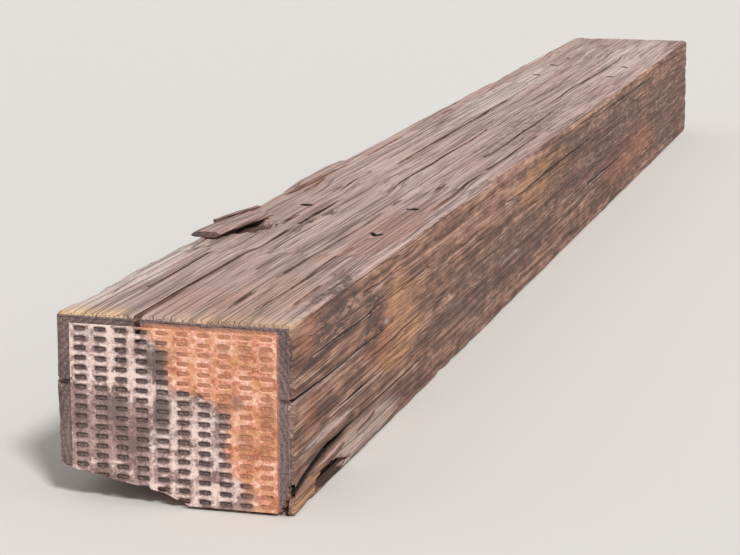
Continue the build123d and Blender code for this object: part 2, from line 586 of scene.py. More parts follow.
    def cracked(self, wires: Wiring, grain: Grain, colour: Signal, along: Signal) -> Signal:
        """The surface with torn fibres, fine dark lines along the grain, and painted shade inside its
        cracks, holes and breaks.

        Args:
            wires: the material's wiring.
            grain: the wood's patterns.
            colour: colour of the surface without them.
            along: 1 on the two ends, which have no lines along the grain.

        Returns:
            The colour.
        """
        colour = wires.mix(wires.attribute("torn") * (grain.fibre * 0.5 + 0.55), colour, self.torn)
        line = (grain.hair_crack * 0.34).higher(grain.groove_line * 0.4) * (1.0 - along)
        colour = wires.mix(line, colour, self.inside)
        # Painted shade inside checks, split, break, hollow, spike holes and under slivers, read from a
        # stored mark.
        return wires.mix(wires.attribute("crack").rise(0.04, 0.3), colour, self.inside)

    def build(self) -> bpy.types.Material:
        """Make the material.

        Returns:
            The timber material.
        """
        material, wires = new_material("weathered_timber")
        grain = self.grain(wires)
        _, normal_y, normal_z = wires.parts(wires.add("ShaderNodeNewGeometry", {}, {}, "Normal"))
        up = normal_z.rise(0.62, 0.93)
        along = abs(normal_y).rise(0.5, 0.8)
        scab = wires.noise((150.0, 45.0, 150.0), (4.0, 8.0, 1.0), 4.0, 0.7)
        tar_cover = wires.attribute("tar")
        tar = tar_cover * (scab.rise(0.42, 0.57) * 0.85 + 0.12)

        colour = wires.mix(up, self.side_colour(wires, grain), self.top_colour(wires, grain))
        colour = self.patched(wires, grain, colour)
        colour = wires.mix(along, colour, self.end_colour(wires, grain))
        colour = wires.mix(tar, colour, wires.mix(grain.grit, self.tar, self.side_dark))
        colour = self.cracked(wires, grain, colour, along)

        relief = grain.fibre * 0.6 + grain.streak * 0.6 + grain.knob * 0.7
        relief = relief + tar * 0.5 + scab * tar_cover * 0.6
        relief = relief - grain.hair_crack * 0.7 - grain.groove_line * 1.1
        relief = relief * (1.0 - along) + grain.grit * (0.18 + along * 0.9)
        relief = relief + grain.blotch * along - grain.ring_line * 0.25
        wires.surface(
            {
                "Base Color": colour,
                "Roughness": 0.86 - tar * 0.18,
                "Normal": wires.bump(relief, self.relief_height, 0.9),
            }
        )
        return material


@dataclass(frozen=True)
class PlateMarks:
    """Patterns and stored marks that the finish of a plate shares."""

    cloud: Signal
    fleck: Signal
    blister: Signal
    # Slot dishes, where painted shade goes.
    dish: Signal
    rust: Signal
    # Bright zinc, partly clean metal and partly painted highlight.
    bright: Signal


@dataclass(frozen=True)
class EndPlateSteel:
    """Finish of the end plates: zinc with painted highlights, rust, ground-in dirt, and painted shade in
    the slot dishes.
    """

    zinc: Colour = srgb(241, 218, 208)
    zinc_dark: Colour = srgb(194, 169, 161)
    dirt: Colour = srgb(176, 147, 142)
    grime: Colour = srgb(122, 97, 92)
    # Painted shade colour for the slot dishes.
    slot_shade: Colour = srgb(84, 62, 55)
    rust: Colour = srgb(212, 143, 109)
    rust_pink: Colour = srgb(222, 152, 130)
    rust_dark: Colour = srgb(172, 104, 76)
    rust_pale: Colour = srgb(246, 202, 178)
    rust_gold: Colour = srgb(214, 160, 110)
    bronze: Colour = srgb(150, 108, 74)
    soot: Colour = srgb(98, 84, 82)
    relief_height: float = 0.0008

    def marks(self, wires: Wiring) -> PlateMarks:
        """Noise patterns and the marks stored on the plate.

        Args:
            wires: the material's wiring.

        Returns:
            The patterns and marks.
        """
        return PlateMarks(
            cloud=wires.noise((45.0, 45.0, 45.0), (1.0, 0.0, 4.0), 4.0, 0.6),
            fleck=wires.noise((330.0, 330.0, 330.0), (6.0, 2.0, 0.0), 3.0, 0.65),
            blister=wires.noise((150.0, 150.0, 190.0), (2.0, 5.0, 1.0), 4.0, 0.65, 0.5),
            dish=wires.attribute("dish"),
            rust=wires.attribute("rust"),
            bright=wires.attribute("bright"),
        )

    def bare_metal(self, wires: Wiring, marks: PlateMarks) -> Signal:
        """Zinc, pale on its bright spots, webs and rims as clean metal and painted highlight, dull with
        dirt elsewhere, and painted shade in the slot dishes.

        Args:
            wires: the material's wiring.
            marks: patterns and marks of the plate.

        Returns:
            The colour.
        """
        cloud, fleck, blister = marks.cloud, marks.fleck, marks.blister
        zinc = wires.mix((cloud * 0.4 + fleck * 0.6).rise(0.40, 0.56), self.zinc_dark, self.zinc)
        grime = wires.mix((fleck * 0.5 + cloud * 0.5).rise(0.42, 0.58), self.grime, self.dirt)
        web = wires.attribute("web")
        # Painted highlight: bright spots, the webs between slots and the slot rims are painted pale as if
        # catching light; the spots are partly clean zinc.
        shine = marks.bright * (web * 0.6 + wires.attribute("rim") * 0.35 + 0.45) + web * 0.16
        shine = shine + (blister - 0.5) * 2.2 + (cloud - 0.5) * 1.4 - 0.22
        metal = wires.mix(shine.rise(0.0, 0.6), grime, zinc)
        metal = wires.mix(marks.rust.rise(0.0, 0.35) * (blister * 0.4 + 0.35), metal, self.rust)
        # Painted shade darkens the slot dishes.
        return wires.mix(marks.dish * 0.66, metal, self.slot_shade)

    def rusty_metal(self, wires: Wiring, marks: PlateMarks) -> Signal:
        """Rust in four tones; open slot dishes painted brown as shade, filled ones pale as silt and
        painted light.

        Args:
            wires: the material's wiring.
            marks: patterns and marks of the plate.

        Returns:
            The colour.
        """
        tone = marks.cloud * 0.38 + marks.blister * 0.42 + marks.fleck * 0.3
        stops = ((0.0, self.rust_dark), (0.3, self.rust), (0.6, self.rust_pink), (1.0, self.rust_pale))
        tint = wires.noise((75.0, 75.0, 110.0), (7.0, 1.0, 3.0), 3.0, 0.6, 0.3)
        silt = wires.attribute("silt")
        rusty = wires.ramp(tone.rise(0.44, 0.66), stops)
        rusty = wires.mix(tint.rise(0.50, 0.62) * 0.55, rusty, self.rust_gold)
        # Painted shade: open slot dishes are painted brown.
        rusty = wires.mix(marks.dish * (1.0 - silt) * 0.5, rusty, self.bronze)
        # Pale fill in the slot dishes: silt, and painted light that evens out their shade.
        return wires.mix(marks.dish * silt.rise(0.5, 0.9) * 0.5, rusty, self.rust_pale)

    def build(self) -> bpy.types.Material:
        """Make the material.

        Returns:
            The plate material.
        """
        material, wires = new_material("end_plate_steel")
        marks = self.marks(wires)
        cloud, fleck, blister = marks.cloud, marks.fleck, marks.blister
        edge = (marks.rust + (blister - 0.5) * 1.6 + (cloud - 0.5) * 0.8).rise(0.36, 0.64)
        browned = wires.attribute("bronze") * (marks.dish * 0.45 + blister * 0.5 + 0.1)
        sooty = wires.attribute("soot") * (blister * 0.8 + fleck * 0.7)
        colour = wires.mix(edge, self.bare_metal(wires, marks), self.rusty_metal(wires, marks))
        colour = wires.mix(browned, colour, self.bronze)
        colour = wires.mix(sooty, colour, self.soot)
        relief = fleck * 0.4 + cloud * 0.3 + edge * blister * 0.9
        wires.surface(
            {
                "Base Color": colour,
                "Roughness": edge * 0.3 + 0.55,
                "Metallic": (1.0 - edge) * marks.bright * 0.3,
                "Normal": wires.bump(relief, self.relief_height, 0.8),
            }
        )
        return material


@dataclass(frozen=True)
class FloorPaint:
    """Plain pale floor."""

    colour: Colour = srgb(226, 222, 217)
    roughness: float = 0.9

    def build(self) -> bpy.types.Material:
        """Make the floor material."""
        material, wires = new_material("pale_floor")
        wires.surface({"Base Color": (*self.colour, 1.0), "Roughness": self.roughness})
        return material


def deselect() -> None:
    """Leave no object selected."""
    bpy.ops.object.select_all(action="DESELECT")


def activate(piece: bpy.types.Object) -> None:
    """Select one object and make it the active one.

    Args:
        piece: the object.
    """
    deselect()
    piece.select_set(True)
    bpy.context.view_layer.objects.active = piece


def join(pieces: Sequence[bpy.types.Object]) -> bpy.types.Object:
    """Make several objects one.

    Args:
        pieces: the objects; the first one takes in the others.

    Returns:
        The first object.
    """
    activate(pieces[0])
    for piece in pieces:
        piece.select_set(True)
    bpy.ops.object.join()
    return pieces[0]


@contextmanager
def editing(piece: bpy.types.Object, pick: Pick = Pick.EDGES) -> Iterator[None]:
    """Keep one object in edit mode for a with block.

    Args:
        piece: the object.
        pick: what is selected there.

    Returns:
        The block's context.
    """
    activate(piece)
    bpy.ops.object.mode_set(mode="EDIT")
    bpy.ops.mesh.select_mode(type=pick.value)
    yield
    bpy.ops.object.mode_set(mode="OBJECT")


def turn_outward() -> None:
    """Select all faces in edit mode and turn them outwards."""
    bpy.ops.mesh.select_all(action="SELECT")
    bpy.ops.mesh.normals_make_consistent(inside=False)


def edges_along(piece: bpy.types.Object, axis: int) -> None:
    """Select, in edit mode, the edges that run along one axis.

    Args:
        piece: object in edit mode.
        axis: 0, 1 or 2 for X, Y or Z.
    """
    mesh = bmesh.from_edit_mesh(piece.data)
    for edge in mesh.edges:
        run = edge.verts[1].co - edge.verts[0].co
        edge.select_set(abs(run[axis]) > 0.9 * run.length)
    mesh.select_flush_mode()
    bmesh.update_edit_mesh(piece.data)


def read_points(piece: bpy.types.Object) -> Array:
    """Places of an object's vertices, one row each.

    Args:
        piece: the object.

    Returns:
        The places.
    """
    points = np.empty(len(piece.data.vertices) * 3)
    piece.data.vertices.foreach_get("co", points)
    return points.reshape(-1, 3)


def write_points(piece: bpy.types.Object, points: Array) -> None:
    """Move an object's vertices to new places."""
    piece.data.vertices.foreach_set("co", points.reshape(-1))
    piece.data.update()


def write_marks(piece: bpy.types.Object, marks: dict[str, Array]) -> None:
    """Store marks on an object's vertices, each kept between 0 and 1.

    Args:
        piece: the object.
        marks: one number for each vertex, by the name of the mark.
    """
    for name, values in marks.items():
        layer = piece.data.attributes.new(name, "FLOAT", "POINT")
        layer.data.foreach_set("value", np.clip(values, 0.0, 1.0).astype(np.float32))


@dataclass(frozen=True)
class Opening:
    """One stretch of a seam that has opened, with its deepest part given."""

    start: float
    end: float
    mouth: float
    depth: float
    deepest: float


@dataclass(frozen=True)
class Seam:
    """A line of weakness along the grain, where drying checks open."""

    place: float
    wander: float = 0.004
    hairline: float = 0.004
    openings: tuple[Opening, ...] = ()


@dataclass(frozen=True)
class Splinter:
    """A loose sliver, from its root to its tip, bowed off the timber between them."""

    root: Triple
    tip: Triple
    width: float
    thickness: float
    bow: Triple = (0.0, 0.0, 0.0)
    blunt: float = 0.1


@dataclass(frozen=True)
class Patch:
    """A stained or bared area on one face, as an ellipse with a ragged edge."""

    face: Face
    along: float
    across: float
    length: float
    width: float
    strength: float = 1.0


@dataclass(frozen=True)
class PlateWear:
    """Dents and rust of the end plates, which the wood behind them follows."""

    noise: LatticeNoise = field(default_factory=lambda: LatticeNoise(29))
    dent_depth: float = 0.0007
    dent_limit: float = 0.0020
    rust_heights: tuple[float, ...] = (0.000, 0.028, 0.034, 0.090, 0.104, 0.112, 0.150, 0.158, 0.168)
    rust_edges: tuple[float, ...] = (0.078, 0.076, 0.057, 0.055, 0.042, -0.002, -0.003, -0.017, -0.026)
    rust_ragged: float = 0.012
    rust_soft: float = 0.014

    def dent(self, x: Array, z: Array, far: Array | bool) -> Array:
        """Depth of a plate's dents behind the flat sheet."""
        swell = self.noise.fractal(x / 0.06, 1.5 + far, z / 0.05, 2)
        return np.clip(self.dent_depth + self.dent_depth * swell, 0.0, self.dent_limit)

    def rust(self, x: Array, z: Array, far: Array | bool) -> Array:
        """Cover of rust over a plate and the wood behind it.

        Args:
            x: place across, from the plate's middle.
            z: height above the timber's underside.
            far: whether it is the plate of the far end.

        Returns:
            Cover between 0 and 1.
        """
        patches = smooth_step(self.noise.fractal(x / 0.070, 9.5, z / 0.055, 4), -0.15, 0.25)
        ragged = self.rust_ragged * self.noise.fractal(x / 0.018, 2.5, z / 0.012, 3)
        inside = x - np.interp(z, self.rust_heights, self.rust_edges) + ragged
        return np.where(far, patches, smooth_step(inside, -self.rust_soft, self.rust_soft))


PLATE_WEAR = PlateWear()


@dataclass(frozen=True)
class Grid:
    """Where each vertex of the divided block stands."""

    share: Array
    column: Array
    row: Array
    along: Array
    near: Array
    far: Array
    faces: dict[Face, Array]


@dataclass
class Checks:
    place: Array
    depth: Array
    # Painted shade inside the checks.
    check_shade: Array


@dataclass
class Timber:
    """The sleeper's timber, with its wear, checks, seats and spike holes."""

    columns: int = 68
    rows: int = 54
    dense_reach: float = 0.70
    dense_step: float = 0.0043
    coarse_step: float = 0.0110
    edge_steps: int = 4
    edge_step: float = 0.0020

    top_left_round: float = 0.010
    top_right_round: float = 0.011
    lower_left_round: float = 0.012
    lower_right_round: float = 0.007
    end_round: float = 0.0045

    gauge_half: float = 0.7525
    seat_length: float = 0.356
    seat_width: float = 0.197
    seat_depth: float = 0.003
    spike_radius: float = 0.008
    spike_depth: float = 0.115
    spike_across: float = 0.0635
    spike_along: float = 0.078
    spike_lip: float = 0.004
    plate_gap: float = 0.0014
    plate_half: float = 0.0990
    plate_foot: float = 0.0030
    plate_top: float = 0.1680
    end_shy: float = 0.0004
    on_face_within: float = 0.0001
    clearance: float = 0.00001

    top_seams: tuple[Seam, ...] = (
        Seam(-0.092),
        Seam(-0.070, openings=(Opening(0.12, 0.33, 0.0022, 0.010, 0.5),)),
        Seam(-0.054, 0.003, openings=(Opening(0.505, 0.555, 0.007, 0.016, 0.5),)),
        Seam(
            -0.034,
            0.0030,
            openings=(
                Opening(-0.35, 0.43, 0.0062, 0.036, 0.44),
                Opening(0.50, 0.66, 0.0060, 0.018, 0.4),
                Opening(1.15, 1.75, 0.0030, 0.012, 0.5),
            ),
        ),
        Seam(0.008, openings=(Opening(0.70, 1.30, 0.0028, 0.010, 0.4),)),
        Seam(
            0.036,
            openings=(Opening(0.20, 0.62, 0.0016, 0.006, 0.5), Opening(1.6, 2.3, 0.004, 0.018, 0.6)),
        ),
        Seam(
            0.062,
            openings=(Opening(0.06, 0.42, 0.0022, 0.008, 0.3), Opening(1.0, 1.5, 0.0025, 0.010, 0.5)),
        ),
        Seam(0.088, openings=(Opening(0.9, 1.25, 0.0024, 0.008, 0.5),)),
    )
    right_seams: tuple[Seam, ...] = (
        Seam(
            0.064,
            openings=(Opening(0.10, 0.34, 0.0026, 0.009, 0.4), Opening(1.3, 1.9, 0.003, 0.010, 0.5)),
        ),
        Seam(0.086, openings=(Opening(0.20, 0.52, 0.0020, 0.007, 0.5),)),
        Seam(0.105, 0.003, openings=(Opening(-0.25, 0.33, 0.0042, 0.026, 0.43),)),
        Seam(
            0.134,
            openings=(Opening(0.05, 0.30, 0.0018, 0.007, 0.5), Opening(0.9, 1.5, 0.003, 0.012, 0.5)),
        ),
        Seam(0.156, openings=(Opening(1.7, 2.2, 0.0024, 0.009, 0.5),)),
    )
    left_seams: tuple[Seam, ...] = (
        Seam(0.034, openings=(Opening(0.6, 1.2, 0.003, 0.010, 0.5),)),
        Seam(0.062, openings=(Opening(1.4, 2.1, 0.003, 0.012, 0.5),)),
        Seam(
            0.096,
            openings=(Opening(-0.2, 0.45, 0.004, 0.022, 0.4), Opening(1.9, 2.4, 0.003, 0.01, 0.5)),
        ),
        Seam(0.126, openings=(Opening(0.5, 1.1, 0.0025, 0.009, 0.5),)),
        Seam(0.152, openings=(Opening(1.2, 1.6, 0.002, 0.008, 0.5),)),
    )
    under_seams: tuple[Seam, ...] = (
        Seam(-0.072, openings=(Opening(0.8, 1.6, 0.004, 0.014, 0.5),)),
        Seam(-0.020, openings=(Opening(1.5, 2.3, 0.004, 0.016, 0.5),)),
        Seam(0.030, openings=(Opening(0.3, 1.0, 0.003, 0.010, 0.5),)),
        Seam(0.078, openings=(Opening(1.0, 1.5, 0.003, 0.010, 0.5),)),
    )

    split_along: tuple[float, ...] = (0.0, 0.024, 0.053, 0.105, 0.42, 0.80)
    split_height: tuple[float, ...] = (0.022, 0.027, 0.032, 0.038, 0.038, 0.044)
    split_mouth: float = 0.007
    split_depth: float = 0.034
    split_fall: float = 0.012
    gape_along: tuple[float, ...] = (0.0, 0.02, 0.05, 0.13, 0.20, 0.44)
    gape_share: tuple[float, ...] = (0.7, 1.0, 1.0, 0.9, 0.3, 0.0)
    split_start: float = 0.03
    split_end: float = 0.44
    split_taper: float = 0.36
    split_loop: float = 0.026
    split_reach: float = 0.058
    split_foot: float = 0.103
    break_start: float = 0.092
    break_end: float = 0.164
    break_height: tuple[float, float] = (0.019, 0.010)
    break_depth: float = 0.026
    # Height of the lip of wood left under the break, there to be painted dark as the shade inside it.
    break_floor: float = 0.003
    push_from: float = 0.02

    tear_along: tuple[float, ...] = (0.372, 0.400, 0.418, 0.436, 0.468, 0.492, 0.530)
    tear_inner: tuple[float, ...] = (0.013, 0.015, 0.019, 0.036, 0.060, 0.054, 0.016)
    tear_outer: float = 0.010
    tear_depth: float = 0.013

    hollow_reach: float = 0.700
    hollow_across: tuple[float, ...] = (-0.1195, -0.0095, 0.0225)
    hollow_rise: tuple[float, ...] = (0.035, 0.014, 0.0)

    splinters: tuple[Splinter, ...] = (
        Splinter(
            (-0.0960, 0.545, 0.1732), (-0.1042, 0.385, 0.1789), 0.0176, 0.0042, (0.0, 0.0, 0.0006), 0.82
        ),
        Splinter(
            (-0.1090, 0.580, 0.1745), (-0.1172, 0.455, 0.1802), 0.0036, 0.0030, (0.0, 0.0, 0.0004), 0.85
        ),
        Splinter((-0.1030, 0.930, 0.1730), (-0.1060, 0.660, 0.1752), 0.0130, 0.0050, (0.0, 0.0, 0.0025)),
        Splinter((0.1095, 0.215, 0.046), (0.1125, 0.012, 0.050), 0.0035, 0.0065, (0.0025, 0.0, 0.0)),
        Splinter((0.1070, 0.190, 0.027), (0.1125, 0.056, 0.0245), 0.0035, 0.0045, (0.003, 0.0, 0.0), 0.3),
        Splinter((0.1080, 0.300, 0.030), (0.1125, 0.205, 0.026), 0.0030, 0.0040, (0.002, 0.0, 0.0)),
    )
    tar_patches: tuple[Patch, ...] = (
        Patch(Face.RIGHT, 0.130, 0.154, 0.065, 0.021, 1.15),
        Patch(Face.RIGHT, 0.275, 0.120, 0.050, 0.032, 1.1),
        Patch(Face.RIGHT, 0.200, 0.145, 0.090, 0.014, 0.6),
        Patch(Face.RIGHT, 0.150, 0.168, 0.070, 0.012),
        Patch(Face.RIGHT, 0.85, 0.060, 0.35, 0.050, 0.6),
        Patch(Face.RIGHT, 1.60, 0.110, 0.50, 0.060, 0.65),
        Patch(Face.RIGHT, 2.35, 0.080, 0.25, 0.080, 0.6),
        Patch(Face.LEFT, 0.50, 0.080, 0.40, 0.060, 0.65),
        Patch(Face.LEFT, 1.50, 0.090, 0.70, 0.070, 0.65),
        Patch(Face.TOP, 1.30, 0.060, 0.30, 0.030, 0.5),
        Patch(Face.TOP, 0.16, 0.104, 0.10, 0.011, 0.9),
        Patch(Face.TOP, 0.525, -0.055, 0.016, 0.005, 1.4),
        Patch(Face.TOP, 0.575, -0.020, 0.030, 0.006, 1.4),
        Patch(Face.TOP, 0.520, -0.025, 0.016, 0.004, 1.2),
    )
    fresh_patches: tuple[Patch, ...] = (
        Patch(Face.RIGHT, 0.37, 0.100, 0.10, 0.055, 0.9),
        Patch(Face.RIGHT, 0.035, 0.010, 0.060, 0.022, 1.3),
        Patch(Face.TOP, 0.10, 0.050, 0.12, 0.040, 0.3),
        Patch(Face.RIGHT, 0.045, 0.027, 0.040, 0.006, 0.8),
        Patch(Face.RIGHT, 1.15, 0.130, 0.20, 0.030, 0.7),
    )
    ruddy_patches: tuple[Patch, ...] = (
        Patch(Face.RIGHT, 0.048, 0.157, 0.026, 0.020, 0.8),
        Patch(Face.RIGHT, 0.055, 0.082, 0.028, 0.020, 0.8),
        Patch(Face.TOP, 0.085, -0.005, 0.060, 0.040, 0.4),
        Patch(Face.RIGHT, 0.290, 0.100, 0.060, 0.040, 0.7),
        Patch(Face.TOP, 0.45, 0.070, 0.20, 0.030, 0.5),
        Patch(Face.RIGHT, 1.90, 0.060, 0.30, 0.030, 0.7),
        Patch(Face.LEFT, 0.90, 0.120, 0.30, 0.030, 0.7),
    )
    pale_patches: tuple[Patch, ...] = (
        Patch(Face.TOP, 0.16, -0.105, 0.22, 0.024, 1.0),
        Patch(Face.RIGHT, 0.11, 0.049, 0.090, 0.008, 1.2),
        Patch(Face.RIGHT, 0.32, 0.111, 0.010, 0.004, 1.3),
        Patch(Face.RIGHT, 0.25, 0.018, 0.13, 0.016, 0.55),
        Patch(Face.TOP, 1.70, -0.060, 0.40, 0.030, 0.8),
        Patch(Face.TOP, 2.30, 0.050, 0.30, 0.040, 0.7),
    )
    rub_across: tuple[float, ...] = (-0.050, -0.040, -0.010, 0.030, 0.106)
    rub_share: tuple[float, ...] = (1.0, 0.0, 0.1, 0.6, 0.7)
    rub_reach: tuple[float, float] = (0.014, 0.034)
    smooth_angle: float = 38.0
    noise: LatticeNoise = field(default_factory=lambda: LatticeNoise(17))

    def __post_init__(self) -> None:
        """Take the timber's box from the frame."""
        low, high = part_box("timber")
        self.low = np.array(low)
        self.high = np.array(high)
        self.size = self.high - self.low

    def stations(self) -> Array:
        """Places of the cross loops, as distances from the worn end.

        Returns:
            Rising distances from 0 to the timber's length.
        """
        ends = self.edge_step * np.arange(self.edge_steps)
        length = self.size[1]
        last = ends[-1]
        dense = np.arange(last + self.dense_step, self.dense_reach, self.dense_step)
        count = int((length - last - dense[-1]) / self.coarse_step)
        coarse = np.linspace(dense[-1], length - last, count)[1:-1]
        holes = {along for _, along in self.hole_places() if along > self.dense_reach}
        reach = self.spike_radius * 2
        rings = np.concatenate([np.arange(-reach, reach, self.dense_step) + along for along in holes])
        coarse = [along for along in coarse if min(abs(along - hole) for hole in holes) > reach]
        coarse = np.sort(np.concatenate([coarse, rings]))
        return np.concatenate([ends, dense, coarse, length - ends[::-1]])

    def block(self, stations: int) -> bpy.types.Object:
        """Closed block of quads, evenly divided along its three axes.

        Args:
            stations: number of loops across the timber, both ends included.

        Returns:
            The block, in place.
        """
        deselect()
        centre = (self.low + self.high) / 2
        bpy.ops.mesh.primitive_cube_add(size=1.0, location=centre, scale=self.size)
        piece = bpy.context.object
        piece.name = "timber_body"
        bpy.ops.object.transform_apply(location=True, rotation=False, scale=True)
        with editing(piece):
            for axis, cuts in ((1, stations - 2), (0, self.columns - 1), (2, self.rows - 1)):
                edges_along(piece, axis)
                bpy.ops.mesh.subdivide(number_cuts=cuts)
        return piece

    def grid(self, piece: bpy.types.Object, stations: Array) -> Grid:
        """Loops and faces that the block's vertices belong to.

        Args:
            piece: the evenly divided block.
            stations: distances of its loops from the worn end.

        Returns:
            The grid, one value of each kind for each vertex.
        """
        share = (read_points(piece) - self.low) / self.size
        last = len(stations) - 1
        counts = (self.columns, last, self.rows)
        column, station, row = (np.rint(part * count).astype(int) for part, count in zip(share.T, counts))
        faces = {
            Face.TOP: row == self.rows,
            Face.UNDERSIDE: row == 0,
            Face.LEFT: column == 0,
            Face.RIGHT: column == self.columns,
        }
        return Grid(share, column, row, stations[station], station == 0, station == last, faces)

    def wander(self, seam: Seam, row: int, along: Array) -> Array:
        """Sideways drift of a seam along the timber."""
        return seam.wander * self.noise.fractal(along / 0.16, row * 3.7 + 0.5, seam.place * 50.0, 2)

    def seam_depth(self, seam: Seam, row: int, along: Array) -> tuple[Array, Array]:
        """Args:
            seam: the seam.
            row: number that sets its noise apart.
            along: distances from the worn end.

        Returns:
            Depths and mouths at those distances.
        """
        chance = self.noise.fractal(along / 0.11, row * 5.1 + 0.2, seam.place * 31.0, 3)
        depth = seam.hairline * smooth_step(chance, 0.05, 0.5)
        mouth = 0.0008 + 0.0012 * smooth_step(chance, 0.05, 0.5)
        ragged = 1.0 + 0.25 * self.noise.fractal(along / 0.02, row * 2.3, 4.4, 2)
        for opening in seam.openings:
            share = (along - opening.start) / (opening.end - opening.start)
            rise = np.clip(share / opening.deepest, 0.0, 1.0)
            fall = np.clip((1.0 - share) / (1.0 - opening.deepest), 0.0, 1.0)
            shape = np.sqrt(np.minimum(rise, fall)) * ragged
            depth = np.maximum(depth, opening.depth * np.clip(shape, 0.0, 1.1))
            mouth = np.maximum(mouth, opening.mouth * np.clip(shape, 0.0, 1.1))
        return depth, mouth

    def loops(self, axis: int, seams: Sequence[Seam]) -> tuple[Array, dict[int, int], float]:
        """Even loop places, with one loop moved onto each seam.

        Args:
            axis: the axis across the face.
            seams: the face's seams.

        Returns:
            The places, which loop stands on which seam, and the even step.
        """
        count = self.columns if axis == 0 else self.rows
        places = np.linspace(self.low[axis], self.high[axis], count + 1)
        step = self.size[axis] / count
        owners = {}
        for row, seam in enumerate(seams):
            nearest = int(np.argmin(abs(places - seam.place)))
            places[nearest] = seam.place
            owners[nearest] = row
        return places, owners, step

    def face_checks(self, grid: Grid, face: Face, seams: Sequence[Seam]) -> Checks:
        """Places across one face, with its checks.

        Args:
            grid: the block's loops.
            face: the face.
            seams: the face's seams.

        Returns:
            Place across, depth of check and painted shade of the check at each point.
        """
        index = grid.column if face.across == 0 else grid.row
        along = grid.along
        places, owners, step = self.loops(face.across, seams)
        across = places[index]
        depth = np.zeros_like(along)
        check_shade = np.zeros_like(along)
        for loop, row in owners.items():
            seam = seams[row]
            drift = self.wander(seam, row, along)
            near = abs(places[index] - seam.place)
            across = across + drift * np.exp(-((near / 0.012) ** 2))
            check, mouth = self.seam_depth(seam, row, along)
            on_seam = index == loop
            depth = np.where(on_seam, check, depth)
            # Painted shade inside each check, darker where it is deeper.
            check_shade = np.where(on_seam, smooth_step(check, 0.002, 0.010), check_shade)
            open_share = smooth_step(check, 0.0, 0.006)
            for side in (-1, 1):
                pulled = seam.place + drift + side * np.minimum(step, mouth / 2 + 0.0006)
                across = np.where(index == loop + side, across + (pulled - across) * open_share, across)
        return Checks(across, depth, check_shade)

    def open_split(self, grid: Grid, side: Checks) -> None:
        """Open the low split on the right side.

        Args:
            grid: the block's loops.
            side: places and checks of the right side, which are changed.
        """
        along, row = grid.along, grid.row
        loop = int(round(self.split_loop / self.size[2] * self.rows))
        base = loop * self.size[2] / self.rows
        line = np.interp(along, self.split_along, self.split_height)
        reach = self.split_reach
        upper, lower, on_split = row == loop + 1, row == loop - 1, row == loop

        below = row * line / loop
        above = line + (side.place - base) * (reach - line) / (reach - base)
        height = np.where(row <= loop, below, np.where(side.place < reach, above, side.place))
        lip = np.where(upper, 1.0, 0.0) - np.where(lower, 1.0, 0.0)
        height = height + (line + lip * 0.0008 - height) * abs(lip) * 0.8

        fade = np.sqrt(np.clip((self.split_end - along) / self.split_taper, 0.0, 1.0))
        fade = fade * np.clip(along / self.split_start, 0.5, 1.0)
        gape = self.split_mouth * np.interp(along, self.gape_along, self.gape_share)
        height = np.where(upper, np.maximum(height, line + gape * 0.6), height)
        height = np.where(lower, np.minimum(height, line - gape * 0.4), height)
        side.place = np.where(on_split, height - self.split_fall * fade, height)
        side.depth = np.where(on_split, self.split_depth * fade, side.depth)
        # Painted shade in the split and along its gaping lips.
        check_shade = np.where(on_split, smooth_step(fade, 0.0, 0.4), side.check_shade)
        side.check_shade = np.where(upper | lower, 0.22 * smooth_step(gape, 0.0025, 0.005), check_shade)

    def tear(self, across: Array, along: Array) -> Array:
        """Share of the torn hollow's depth, 0 outside it.

        Args:
            across: place across the timber.
            along: distance from the worn end.

        Returns:
            Values between 0 and 1.
        """
        from_edge = across - self.low[0]
        ragged = 0.005 * self.noise.fractal(across / 0.010, along / 0.035, 2.5, 3)
        inner = np.interp(along, self.tear_along, self.tear_inner, left=0.0, right=0.0)
        inside = smooth_step(from_edge + ragged, self.tear_outer - 0.002, self.tear_outer + 0.006)
        inside = inside * (1.0 - smooth_step(from_edge + ragged, inner - 0.003, inner + 0.002))
        slope = 0.45 + 0.55 * np.clip(from_edge / np.maximum(inner, 0.001), 0.0, 1.0)
        return inside * slope

    def top_drop(self, across: Array, along: Array) -> Array:
        """How far the top has gone down: torn hollow and rail seats.

        Args:
            across: place across the timber.
            along: distance from the worn end.

        Returns:
            Depth below the top.
        """
        rough = 1.0 + 0.3 * self.noise.fractal(across / 0.006, along / 0.03, 5.5, 3)
        drop = self.tear_depth * rough * self.tear(across, along)
        for side in (-1, 1):
            centre = self.size[1] / 2 + side * self.gauge_half
            half = self.seat_length / 2
            inside = window(along, centre - half, centre + half, 0.060)
            inside = inside * window(across, -self.seat_width / 2, self.seat_width / 2, 0.012)
            drop = np.maximum(drop, self.seat_depth * inside)
        return drop

    def under_rise(self, across: Array, along: Array) -> Array:
        """How far the underside is lifted at the left of the worn end.

        Args:
            across: place across the timber.
            along: distance from the worn end.

        Returns:
            Heights above the underside.
        """
        share = np.clip(1.0 - along / self.hollow_reach, 0.02, 1.0)
        apex = self.low[0] - 0.005
        profile = np.interp(apex + (across - apex) / share, self.hollow_across, self.hollow_rise)
        rough = 1.0 + 0.18 * self.noise.fractal(across / 0.025, along / 0.05, 6.5, 3)
        return np.maximum(share * (profile * rough + 0.005) - 0.005, 0.0)

    def right_push(self, height: Array, along: Array) -> Array:
        """How far the right side stands back where the sliver broke out.

        Args:
            height: height on the square block.
            along: distance from the worn end.

        Returns:
            Depths behind the right side.
        """
        ragged = 0.009 * self.noise.fractal(height / 0.009, along / 0.02, 9.5, 3)
        slant = 0.9 * (self.break_height[0] - height)
        gone = window(along + ragged, self.break_start - slant, self.break_end, 0.006)
        brink = np.interp(along, (self.break_start, self.break_end), self.break_height) + ragged * 0.5
        gone = gone * smooth_step(height, self.break_floor * 0.3, self.break_floor)
        return self.break_depth * gone * (1.0 - smooth_step(height, brink - 0.002, brink + 0.003))

